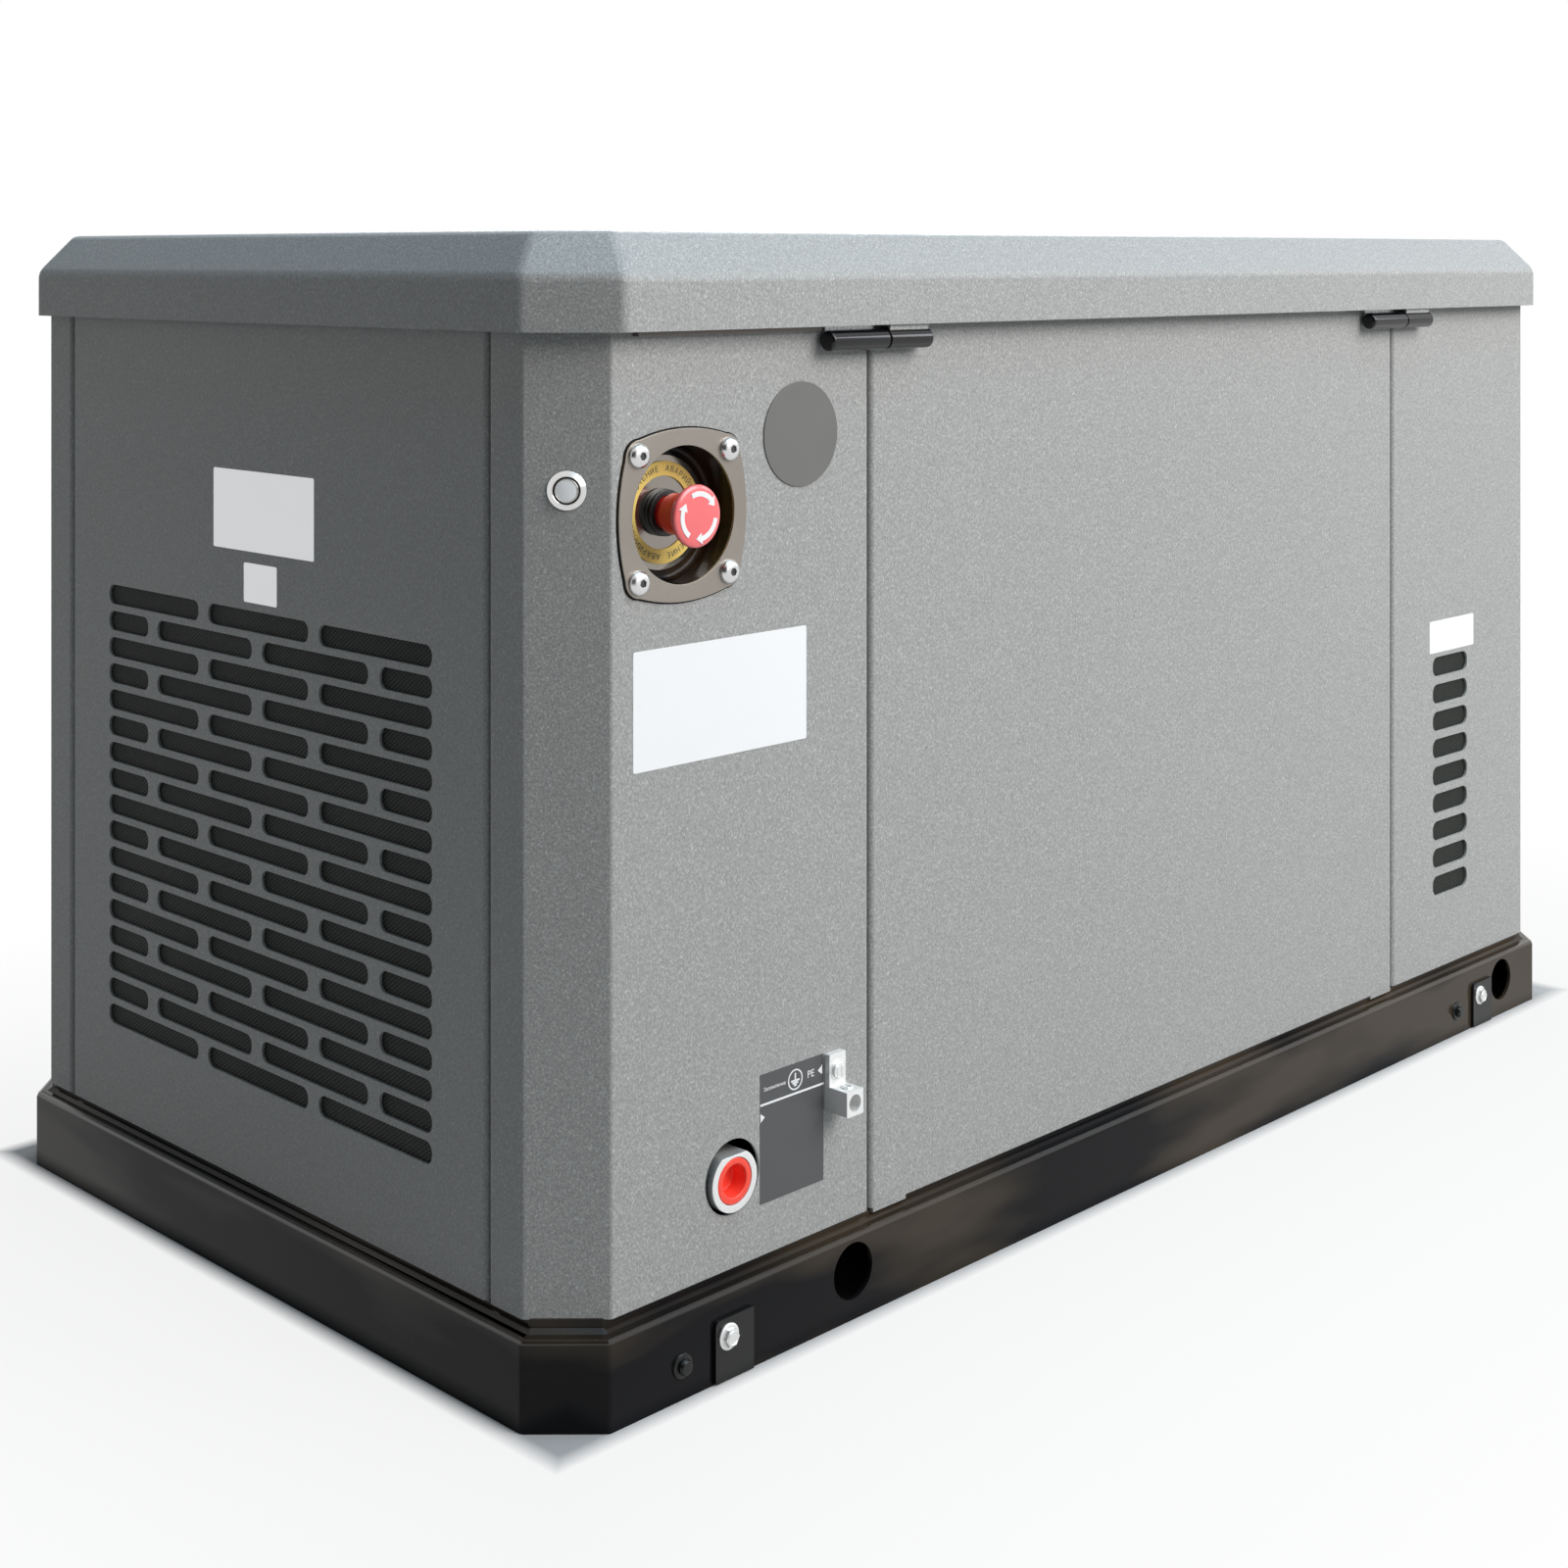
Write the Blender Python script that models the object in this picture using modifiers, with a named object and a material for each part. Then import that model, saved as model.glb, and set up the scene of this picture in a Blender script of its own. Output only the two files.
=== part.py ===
"""Home standby generator: a sheet-metal enclosure on a tray base, with a gas-fired generating set inside.

Frame: metres, +Z up, origin at the bottom centre.  +X runs along the long side, the hinge side with the
emergency stop and the gas inlet faces -Y, and the slotted air intake end faces -X.
"""

from math import cos, pi, radians, sin, sqrt, tan

import bmesh
import bpy
from mathutils import Matrix, Vector

# ---------------------------------------------------------------- driving dimensions (metres)

GAP = 0.0003                 # seat clearance between pieces that rest on each other
SHEET = 0.002                # enclosure sheet thickness
SEAM = 0.002                 # visible gap between neighbouring panels
FOLD_RADIUS = 0.004          # outer radius of a sheet fold
RETURN_FLANGE = 0.014        # inward flange along a panel's seam edge

BODY_LENGTH = 1.245
BODY_WIDTH = 0.669
BODY_CORNER = 0.039          # chamfer of the body's four upright corners
BODY_BOTTOM = 0.065
BODY_TOP = 0.690             # top edge of the panels, behind the lid skirt

BASE_OVERHANG = 0.008
BASE_CORNER = 0.0385
BASE_HEIGHT = 0.061
BASE_WALL = 0.003
BASE_EDGE_RADIUS = 0.004
PLINTH_INSET = 0.006         # the raised deck stands back from the panels' outer face
LIFT_HOLE_RADIUS = 0.019
LIFT_HOLE_HEIGHT = 0.033
LIFT_HOLES_FROM_END = (0.2485, 0.0945)   # left hole from the left end, right hole from the right

LID_OVERHANG_X = 0.0083
LID_OVERHANG_Y = 0.0138
LID_CORNER = 0.047
LID_SKIRT_BOTTOM = 0.673
LID_SKIRT_TOP = 0.7075
LID_TOP = 0.736
LID_TOP_INSET_X = 0.0145
LID_TOP_INSET_Y = 0.012
LID_TOP_CORNER = 0.036
LID_FOLD = 0.003
LINER_THICKNESS = 0.012
LINER_INSET = 0.030

SEAM_LEFT_FROM_END = 0.274   # seams of the long sides, from the left and the right end
SEAM_RIGHT_FROM_END = 0.2795
END_SEAM_FROM_SIDE = 0.0735  # seams of the end panels, from the long sides

POST_WIDTH = 0.026
POST_DEPTH = 0.014
RAIL_HEIGHT = 0.020
RAIL_TOP = 0.680

SLOT_ROWS = 17
SLOT_PITCH = 0.020
SLOT_HEIGHT = 0.015
SLOT_LONG = 0.1273
SLOT_SHORT = 0.0572
SLOT_BRIDGE = 0.013
SLOT_MARGIN = 0.020          # least metal between the slots and an end panel's seam
SLOT_TOP_ROW = 0.4618
OUTLET_ROWS = 6
OUTLET_PITCH = 0.040
SCREEN_THICKNESS = 0.001
SCREEN_MARGIN = 0.011

VENT_COUNT = 9
VENT_LENGTH = 0.063
VENT_HEIGHT = 0.0178
VENT_RADIUS = 0.008
VENT_PITCH = 0.0252
VENT_TOP = 0.342
VENT_FROM_END = 0.176

HINGE_RADIUS = 0.007
HINGE_STANDOFF = 0.0085
HINGE_HEIGHT = 0.663
HINGE_LENGTH = 0.110
HINGE_SPLIT = 0.0605         # length of the frame knuckle, from the hinge's left end
HINGE_PIN_RADIUS = 0.003
HINGE_LEAF = 0.0028
HINGE_LEAF_TOP = 0.688
RIGHT_HINGE_OFFSET = 0.003   # the right hinge's middle, to the left of its seam

LOCK_FROM_END = 0.1425
LOCK_HEIGHT = 0.684
LOCK_SHAFT_RADIUS = 0.006
LOCK_KNOB_RADIUS = 0.013
LOCK_CAM_LENGTH = 0.012
LOCK_CAM_WIDTH = 0.006
LOCK_CAM_THICKNESS = 0.003
KEEPER_LENGTH = 0.010
KEEPER_THICKNESS = 0.002

ESTOP_FROM_END = 0.0985
ESTOP_Z = 0.556
ESTOP_HALF_MID = 0.055
ESTOP_HALF_CORNER = 0.0495
ESTOP_PLATE_CORNER = 0.012
ESTOP_PLATE = 0.002
ESTOP_CUP_RADIUS = 0.044
ESTOP_CUP_DEPTH = 0.020
ESTOP_CUP_WALL = 0.0015
ESTOP_BUTTON_HOLE = 0.0113
ESTOP_LEGEND_OUTER = 0.033
ESTOP_LEGEND_INNER = 0.0235
ESTOP_LEGEND_THICKNESS = 0.001
ESTOP_COLLAR_RADIUS = 0.015
ESTOP_COLLAR_HEIGHT = 0.006
ESTOP_STEM_RADIUS = 0.008
ESTOP_NECK_RADIUS = 0.0105
ESTOP_FLARE_RADIUS = 0.013
ESTOP_HEAD_RADIUS = 0.020
ESTOP_HEAD_HEIGHT = 0.012
ESTOP_HEAD_PROUD = 0.0155    # the head's front above the panel face
ESTOP_SPIGOT_RADIUS = 0.005
ESTOP_TRAVEL = 0.004
CONTACT_BLOCK_SIZE = 0.040
CONTACT_BLOCK_DEPTH = 0.034

PUSH_Z = 0.5755
PUSH_BEZEL_RADIUS = 0.0125
PUSH_BEZEL_HEIGHT = 0.003
PUSH_BARREL_RADIUS = 0.0095
PUSH_BARREL_DEPTH = 0.022
PUSH_CAP_RADIUS = 0.0078
PUSH_CAP_HEIGHT = 0.0055

COVER_FROM_END = 0.2055
COVER_Z = 0.6015
COVER_RADIUS = 0.035
COVER_THICKNESS = 0.0006

GAS_FROM_END = 0.1425
GAS_Z = 0.124
GAS_HOLE_RADIUS = 0.02425
GAS_COUPLING_RADIUS = 0.020
GAS_BORE_RADIUS = 0.0152
GAS_BORE_DEPTH = 0.030
GAS_PROUD = 0.003
GAS_PLUG_RADIUS = 0.0148
GAS_PLUG_DEPTH = 0.024
GAS_PLUG_RECESS = 0.010
REGULATOR_FROM_SIDE = 0.1345
REGULATOR_RADIUS = 0.060
REGULATOR_HEIGHT = 0.180
HOSE_RADIUS = 0.011

LUG_FROM_END = 0.2365
LUG_WIDTH = 0.016
LUG_REACH = 0.021            # how far the ground lug stands out of the panel
LUG_BLOCK_BOTTOM = 0.142
LUG_BLOCK_TOP = 0.159
LUG_TAB_TOP = 0.183
LUG_TAB_THICKNESS = 0.003
LUG_WIRE_RADIUS = 0.0045
LUG_SCREW_Z = 0.170

BRACKET_WIDTH = 0.034
BRACKET_TOP = 0.041
BRACKET_THICKNESS = 0.0025
BRACKETS_FROM_END = (0.1175, 0.1515)   # left edge of each hold-down bracket, from the left and the right end
BRACKET_BOLT_INSET = 0.011
BRACKET_BOLT_Z = 0.029
BOLT_FLANGE_RADIUS = 0.0085
BOLT_HEAD_RADIUS = 0.0062
BOLT_HEAD_HEIGHT = 0.0055

CRANK_Y = 0.020
CRANK_Z = 0.275
CRANKCASE_X = (-0.030, 0.235)
CRANKCASE_HALF_WIDTH = 0.130
CRANKCASE_Z = (0.120, 0.385)
CRANKCASE_WALL = 0.010
CRANK_CHAMBER = 0.030        # height of the hollow above the crankshaft
SHAFT_RADIUS = 0.018
SHAFT_CLEARANCE = 0.0004
BANK_ANGLE = radians(40)
BANK_X = (0.075, 0.155)      # cylinder centres of the -Y and +Y banks
BARREL_RADIUS = 0.045
FIN_RADIUS = 0.060
FIN_COUNT = 5
FIN_PITCH = 0.017
HEAD_SIZE = 0.110
HEAD_HEIGHT = 0.050
BARREL_LENGTH = 0.100
DIPSTICK_SEAT = 0.400
DIPSTICK_RADIUS = 0.004
DIPSTICK_STANDOFF = 0.055    # clears the intake pipe above it when it is drawn
DIPSTICK_BOTTOM = 0.220
CYLINDER_FOOT = 0.110        # distance from the crankshaft at which the cylinders start

STATOR_LENGTH = 0.260
STATOR_RADIUS = 0.110
STATOR_BORE = 0.072
AIR_GAP = 0.002
END_BRACKET_THICKNESS = 0.030
SHAFT_STUB = 0.020

BLOWER_RADIUS = 0.150
BLOWER_LENGTH = 0.095
BLOWER_WALL = 0.003
BLOWER_INLET_RADIUS = 0.090
FAN_RADIUS = 0.125
FAN_DISC = 0.008
FAN_BLADES = 8
FAN_BLADE_LENGTH = 0.055
FAN_BLADE_HEIGHT = 0.045

MANIFOLD_X = -0.045
MANIFOLD_RADIUS = 0.016
MANIFOLD_Z = 0.490
MIXER_SIZE = 0.050
MIXER_TOP = 0.560
AIR_BOX_X = (-0.130, 0.050)
AIR_BOX_HALF_WIDTH = 0.110
AIR_BOX_TOP = 0.645
THROTTLE_Z = 0.535
THROTTLE_ARM = 0.028

MUFFLER_FROM_END = 0.1425
MUFFLER_Z = 0.220
MUFFLER_RADIUS = 0.090
MUFFLER_HALF_LENGTH = 0.220
EXHAUST_RADIUS = 0.015
EXHAUST_Y = 0.130

CRADLE_TOP = 0.072
MUFFLER_WALL = 0.002
MUFFLER_EDGE = 0.010
MUFFLER_OUTLET_RADIUS = 0.020
BATTERY_FROM_END = 0.0475
BATTERY_LENGTH = 0.175
BATTERY_Y = (0.080, 0.240)
BATTERY_HEIGHT = 0.170
CONTROL_FROM_END = 0.022
CONTROL_LENGTH = 0.1805
CONTROL_DEPTH = 0.1677
CONTROL_Z = (0.360, 0.620)
BREAKER_INSET = (0.1005, 0.080)   # from the controller box's left and rear faces
BREAKER_SIZE = (0.050, 0.090, 0.025)
LEVER_HALF_WIDTH = 0.008

SEGMENTS = 16                # facets of a round piece
FINE_SEGMENTS = 24           # facets of the large or prominent round pieces

# ---------------------------------------------------------------- derived values

HALF_LENGTH = BODY_LENGTH / 2
HALF_WIDTH = BODY_WIDTH / 2
DECK_TOP = BODY_BOTTOM - GAP
BASE_FRONT = HALF_WIDTH + BASE_OVERHANG
HINGE_Y = -HALF_WIDTH - HINGE_STANDOFF
LID_SKIRT_Y = HALF_WIDTH + LID_OVERHANG_Y
POST_FACE_Y = HALF_WIDTH - RETURN_FLANGE - GAP
POST_FACE_X = HALF_LENGTH - RETURN_FLANGE - GAP
REACH_Y = HALF_WIDTH + LUG_REACH   # the front lug and the rear locks reach equally far
SEAM_LEFT_X = -HALF_LENGTH + SEAM_LEFT_FROM_END
SEAM_RIGHT_X = HALF_LENGTH - SEAM_RIGHT_FROM_END
END_SEAM_Y = HALF_WIDTH - END_SEAM_FROM_SIDE
HINGE_CENTRES_X = (SEAM_LEFT_X, SEAM_RIGHT_X - RIGHT_HINGE_OFFSET)
LIFT_HOLES_X = (-HALF_LENGTH + LIFT_HOLES_FROM_END[0], HALF_LENGTH - LIFT_HOLES_FROM_END[1])
BRACKET_EDGES_X = (-HALF_LENGTH + BRACKETS_FROM_END[0], HALF_LENGTH - BRACKETS_FROM_END[1])
VENT_X = HALF_LENGTH - VENT_FROM_END
LOCK_X = HALF_LENGTH - LOCK_FROM_END
ESTOP_X = -HALF_LENGTH + ESTOP_FROM_END
COVER_X = -HALF_LENGTH + COVER_FROM_END
GAS_X = -HALF_LENGTH + GAS_FROM_END
LUG_X = -HALF_LENGTH + LUG_FROM_END
REGULATOR_Y = -HALF_WIDTH + REGULATOR_FROM_SIDE
MUFFLER_X = HALF_LENGTH - MUFFLER_FROM_END
BATTERY_X = -HALF_LENGTH + BATTERY_FROM_END
CONTROL_X = -HALF_LENGTH + CONTROL_FROM_END
CONTROL_Y = -END_SEAM_Y + POST_WIDTH / 2 + GAP
BREAKER_X = CONTROL_X + BREAKER_INSET[0]
BREAKER_Y = CONTROL_Y + CONTROL_DEPTH - BREAKER_INSET[1]
SLOT_COLUMNS = int((2 * END_SEAM_Y - 2 * SLOT_MARGIN + SLOT_BRIDGE) / (SLOT_LONG + SLOT_BRIDGE))

# ---------------------------------------------------------------- scene set-up


def clear_scene():
    """Remove every object, so that the script gives the same result each time."""
    for item in list(bpy.data.objects):
        bpy.data.objects.remove(item, do_unlink=True)


def new_collection(name):
    """Make a collection under the scene's own."""
    collection = bpy.data.collections.new(name)
    bpy.context.scene.collection.children.link(collection)
    return collection


def make_material(name, colour, roughness, metallic):
    """Make a Principled material from a base colour, a roughness and a metallic value."""
    material = bpy.data.materials.new(name)
    material.use_nodes = True
    shader = material.node_tree.nodes["Principled BSDF"]
    shader.inputs["Base Color"].default_value = (*colour, 1.0)
    shader.inputs["Roughness"].default_value = roughness
    shader.inputs["Metallic"].default_value = metallic
    material.diffuse_color = (*colour, 1.0)
    return material


clear_scene()
PARTS = new_collection("home_standby_generator")
CUTTERS = new_collection("cutters")

POWDER_COAT = make_material("powder_coat", (0.36, 0.36, 0.355), 0.55, 0.0)
BASE_PAINT = make_material("base_paint", (0.010, 0.010, 0.011), 0.12, 0.0)
BLACK_STEEL = make_material("black_steel", (0.015, 0.015, 0.016), 0.30, 0.0)
FRAME_PAINT = make_material("frame_paint", (0.05, 0.05, 0.05), 0.50, 0.0)
MESH_STEEL = make_material("mesh_steel", (0.04, 0.04, 0.04), 0.60, 0.3)
FOAM = make_material("foam", (0.03, 0.03, 0.03), 0.95, 0.0)
BRONZE = make_material("estop_plate", (0.16, 0.15, 0.13), 0.35, 0.9)
LEGEND = make_material("legend_yellow", (0.85, 0.62, 0.16), 0.45, 0.0)
BLACK_PLASTIC = make_material("black_plastic", (0.02, 0.02, 0.02), 0.45, 0.0)
RED_PLASTIC = make_material("red_plastic", (0.75, 0.05, 0.05), 0.35, 0.0)
STAINLESS = make_material("stainless", (0.75, 0.75, 0.74), 0.20, 1.0)
ZINC = make_material("zinc", (0.72, 0.72, 0.70), 0.35, 1.0)
DARK_LABEL = make_material("dark_cover", (0.09, 0.09, 0.09), 0.40, 0.0)
CAST_ALUMINIUM = make_material("cast_aluminium", (0.55, 0.56, 0.57), 0.50, 0.8)
CAST_IRON = make_material("cast_iron", (0.12, 0.12, 0.12), 0.70, 0.4)
EXHAUST_STEEL = make_material("exhaust_steel", (0.35, 0.32, 0.29), 0.45, 0.9)
HOSE_RUBBER = make_material("hose_rubber", (0.02, 0.02, 0.02), 0.80, 0.0)
FILTER_PAINT = make_material("filter_paint", (0.85, 0.85, 0.82), 0.35, 0.0)
YELLOW_PLASTIC = make_material("yellow_plastic", (0.85, 0.65, 0.05), 0.40, 0.0)

# ---------------------------------------------------------------- modelling helpers


def add_object(name, mesh, material, collection=None):
    """Link a mesh as an object with one material."""
    item = bpy.data.objects.new(name, mesh)
    (collection or PARTS).objects.link(item)
    if material is not None:
        item.data.materials.append(material)
    return item


def set_cutter(item):
    """Turn an object into a Boolean tool that is neither shown nor built."""
    for collection in list(item.users_collection):
        collection.objects.unlink(item)
    CUTTERS.objects.link(item)
    item.hide_render = True
    item.display_type = "WIRE"


def combine(target, tool, operation):
    """Join a tool to a piece, or cut it out of the piece, with an exact Boolean."""
    set_cutter(tool)
    boolean = target.modifiers.new(f"{operation.lower()}_{tool.name}", "BOOLEAN")
    boolean.operation = operation
    boolean.solver = "EXACT"
    boolean.object = tool
    return target


def join(target, *tools):
    """Weld each tool to the target."""
    for tool in tools:
        combine(target, tool, "UNION")
    return target


def cut(target, *tools):
    """Cut each tool out of the target."""
    for tool in tools:
        combine(target, tool, "DIFFERENCE")
    return target


def bevel(item, width, segments=1, angle=30):
    """Round the edges sharper than an angle in degrees."""
    modifier = item.modifiers.new("bevel", "BEVEL")
    modifier.width = width
    modifier.segments = segments
    modifier.limit_method = "ANGLE"
    modifier.angle_limit = radians(angle)
    return item


def box(name, low, high, material=None):
    """Make a box between its lowest and highest corners."""
    low, high = Vector(low), Vector(high)
    shape = bmesh.new()
    bmesh.ops.create_cube(shape, size=1.0)
    bmesh.ops.scale(shape, vec=high - low, verts=shape.verts)
    mesh = bpy.data.meshes.new(name)
    shape.to_mesh(mesh)
    shape.free()
    item = add_object(name, mesh, material)
    item.location = (low + high) / 2
    return item


def boxes(name, corners, material=None):
    """Make one mesh of boxes that stand apart from each other."""
    shape = bmesh.new()
    for low, high in corners:
        low, high = Vector(low), Vector(high)
        size = Matrix.Diagonal((*(high - low), 1.0))
        bmesh.ops.create_cube(shape, size=1.0, matrix=Matrix.Translation((low + high) / 2) @ size)
    mesh = bpy.data.meshes.new(name)
    shape.to_mesh(mesh)
    shape.free()
    return add_object(name, mesh, material)


def point_along(item, at, along):
    """Place an object at a point, with its own Z along a direction."""
    item.location = at
    item.rotation_mode = "QUATERNION"
    item.rotation_quaternion = Vector((0, 0, 1)).rotation_difference(Vector(along))
    return item


def turned(name, profile, material=None, at=(0, 0, 0), along=(0, 0, 1), segments=SEGMENTS, ring=False):
    """Turn a profile of (radius, height) points, listed from the top down its outer side."""
    count = len(profile)
    edges = [(index, index + 1) for index in range(count - 1)]
    if ring:
        edges.append((count - 1, 0))
    mesh = bpy.data.meshes.new(name)
    mesh.from_pydata([(radius, 0, height) for radius, height in profile], edges, [])
    item = add_object(name, mesh, material)
    screw = item.modifiers.new("turn", "SCREW")
    screw.steps = segments
    screw.render_steps = segments
    screw.use_merge_vertices = True
    screw.merge_threshold = 0.00002
    screw.use_smooth_shade = False
    return point_along(item, at, along)


def clear_of(radius, clearance=GAP, segments=SEGMENTS):
    """Radius of a faceted hole whose flats clear a round piece of a radius."""
    return (radius + clearance) / cos(pi / segments)


def rod(name, radius, bottom, top, material=None, at=(0, 0, 0), along=(0, 0, 1), segments=SEGMENTS):
    """Make a plain cylinder between two heights along its axis."""
    profile = [(0, top), (radius, top), (radius, bottom), (0, bottom)]
    return turned(name, profile, material, at, along, segments)


def tube(name, outer, inner, bottom, top, material=None, at=(0, 0, 0), along=(0, 0, 1), segments=SEGMENTS):
    """Make a plain hollow cylinder between two heights along its axis."""
    profile = [(inner, top), (outer, top), (outer, bottom), (inner, bottom)]
    return turned(name, profile, material, at, along, segments, ring=True)


def curve_to_mesh(name, curve_object, material):
    """Replace a curve object by the welded mesh of its evaluated shape."""
    bpy.context.view_layer.update()
    graph = bpy.context.evaluated_depsgraph_get()
    mesh = bpy.data.meshes.new_from_object(curve_object.evaluated_get(graph))
    mesh.name = name
    mesh.materials.clear()
    shape = bmesh.new()
    shape.from_mesh(mesh)
    bmesh.ops.remove_doubles(shape, verts=shape.verts, dist=0.00001)
    bmesh.ops.recalc_face_normals(shape, faces=shape.faces)
    shape.to_mesh(mesh)
    shape.free()
    placing = curve_object.matrix_world.copy()
    curve = curve_object.data
    bpy.data.objects.remove(curve_object, do_unlink=True)
    bpy.data.curves.remove(curve)
    item = add_object(name, mesh, material)
    item.matrix_world = placing
    return item


def prism(name, loops, bottom, top, material=None, turn=(0, 0, 0), at=(0, 0, 0)):
    """Extrude flat outlines; an outline inside another is a hole."""
    curve = bpy.data.curves.new(name, "CURVE")
    curve.dimensions = "2D"
    curve.fill_mode = "BOTH"
    curve.extrude = (top - bottom) / 2
    for loop in loops:
        spline = curve.splines.new("POLY")
        spline.points.add(len(loop) - 1)
        for point, (x, y) in zip(spline.points, loop):
            point.co = (x, y, 0, 1)
        spline.use_cyclic_u = True
    source = bpy.data.objects.new(name + "_outline", curve)
    PARTS.objects.link(source)
    turning = Matrix.Rotation(turn[2], 4, "Z") @ Matrix.Rotation(turn[0], 4, "X")
    source.matrix_world = Matrix.Translation(at) @ turning @ Matrix.Translation((0, 0, (top + bottom) / 2))
    return curve_to_mesh(name, source, material)


FACING_FRONT = (pi / 2, 0, 0)        # outline x, y -> world x, z; thickness towards -Y
FACING_END = (pi / 2, 0, pi / 2)     # outline x, y -> world y, z; thickness towards +X


def pipe(name, radius, knots, material, steps=4):
    """Sweep a round section along a smooth curve through its knots."""
    curve = bpy.data.curves.new(name, "CURVE")
    curve.dimensions = "3D"
    curve.bevel_depth = radius
    curve.bevel_resolution = 2
    curve.use_fill_caps = True
    points = smooth_route(knots, steps)
    spline = curve.splines.new("POLY")
    spline.points.add(len(points) - 1)
    for point, place in zip(spline.points, points):
        point.co = (*place, 1)
    source = bpy.data.objects.new(name + "_route", curve)
    PARTS.objects.link(source)
    return curve_to_mesh(name, source, material)


def smooth_route(knots, steps):
    """Points of a Catmull-Rom curve through the knots, with its first and last stretches straight."""
    knots = [Vector(knot) for knot in knots]
    points = [knots[0]]
    for first, start, end, last in zip(knots, knots[1:], knots[2:], knots[3:]):
        for step in range(steps):
            share = step / steps
            points.append(0.5 * (2 * start + (end - first) * share
                                 + (2 * first - 5 * start + 4 * end - last) * share ** 2
                                 + (3 * start - first - 3 * end + last) * share ** 3))
    points += [knots[-2], knots[-1]]
    return points


def arc(centre_x, centre_y, radius, start, end, count):
    """Points of an arc, end points included, with its angles in degrees."""
    angles = [radians(start + (end - start) * index / count) for index in range(count + 1)]
    return [(centre_x + radius * cos(angle), centre_y + radius * sin(angle)) for angle in angles]


def octagon(half_x, half_y, corner):
    """A rectangle with its four corners cut, anticlockwise."""
    return [(half_x, -half_y + corner), (half_x, half_y - corner), (half_x - corner, half_y),
            (-half_x + corner, half_y), (-half_x, half_y - corner), (-half_x, -half_y + corner),
            (-half_x + corner, -half_y), (half_x - corner, -half_y)]


def slot(x, y, length, height, radius, count=4):
    """An upright-sided slot with rounded corners, anticlockwise."""
    dx, dy = length / 2 - radius, height / 2 - radius
    points = []
    for sign_x, sign_y, start in ((1, 1, 0), (-1, 1, 90), (-1, -1, 180), (1, -1, 270)):
        points += arc(x + sign_x * dx, y + sign_y * dy, radius, start, start + 90, count)
    return without_repeats(points)


def without_repeats(points):
    """Drop each point that lies on the one before it."""
    kept = []
    for point in points:
        if not kept or (Vector(point) - Vector(kept[-1])).length > 0.00001:
            kept.append(point)
    if (Vector(kept[0]) - Vector(kept[-1])).length < 0.00001:
        kept.pop()
    return kept


def rounded(path, radius, count=2):
    """Round the inner corners of an open path."""
    path = [Vector(point) for point in path]
    points = [tuple(path[0])]
    for before, corner, after in zip(path, path[1:], path[2:]):
        into, out = (corner - before).normalized(), (after - corner).normalized()
        turn = into.angle_signed(out)
        reach = radius * abs(tan(turn / 2))
        side = Vector((into.y, -into.x)) if turn > 0 else Vector((-into.y, into.x))
        centre = corner - into * reach + side * radius
        start = corner - into * reach - centre
        for index in range(count + 1):
            swing = Matrix.Rotation(-turn * index / count, 2)
            points.append(tuple(centre + swing @ start))
    points.append(tuple(path[-1]))
    return points


def offset_path(path, distance):
    """Move an open path to its left by a distance, with mitred corners."""
    path = [Vector(point) for point in path]
    moved = []
    for index, point in enumerate(path):
        into = (point - path[max(index - 1, 0)]).normalized() if index else None
        out = (path[index + 1] - point).normalized() if index + 1 < len(path) else None
        into, out = into or out, out or into
        normal_in, normal_out = Vector((-into.y, into.x)), Vector((-out.y, out.x))
        mitre = (normal_in + normal_out).normalized()
        moved.append(tuple(point + mitre * distance / mitre.dot(normal_in)))
    return moved


def folded_sheet(name, path, bottom, top, material):
    """Bend a sheet along a path of its outer face; the inside is on the path's left."""
    inner = offset_path(path, SHEET)
    outline = rounded(path, FOLD_RADIUS) + rounded(inner, FOLD_RADIUS - SHEET)[::-1]
    return prism(name, [outline], bottom, top, material)


# ---------------------------------------------------------------- base


def build_base():
    """The inverted tray that carries everything, with a raised deck and two pairs of lifting holes."""
    outer = octagon(HALF_LENGTH + BASE_OVERHANG, BASE_FRONT, BASE_CORNER)
    inner = octagon(HALF_LENGTH + BASE_OVERHANG - BASE_WALL, BASE_FRONT - BASE_WALL, BASE_CORNER)
    below = -2 * BASE_EDGE_RADIUS
    base = prism("base_pan", [outer], below, BASE_HEIGHT, BASE_PAINT)
    bevel(base, BASE_EDGE_RADIUS)
    plinth_x, plinth_y = HALF_LENGTH - PLINTH_INSET, HALF_WIDTH - PLINTH_INSET
    plinth = prism("plinth", [octagon(plinth_x, plinth_y, BODY_CORNER)], BASE_HEIGHT / 2, DECK_TOP)
    reach = (BODY_LENGTH, BODY_WIDTH)
    floor = box("pan_floor", (-reach[0], -reach[1], 2 * below), (*reach, 0))
    hollow = prism("pan_hollow", [inner], -BASE_WALL, BASE_HEIGHT - BASE_WALL)
    well = octagon(plinth_x - BASE_WALL, plinth_y - BASE_WALL, BODY_CORNER)
    deck_hollow = prism("deck_hollow", [well], BASE_HEIGHT / 4, DECK_TOP - BASE_WALL)
    join(base, plinth)
    cut(base, floor, hollow, deck_hollow)
    for index, x in enumerate(LIFT_HOLES_X):
        hole = rod(f"lift_hole_{index}", LIFT_HOLE_RADIUS, -HALF_LENGTH, HALF_LENGTH,
                   at=(x, 0, LIFT_HOLE_HEIGHT), along=(0, 1, 0))
        cut(base, hole)


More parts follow.
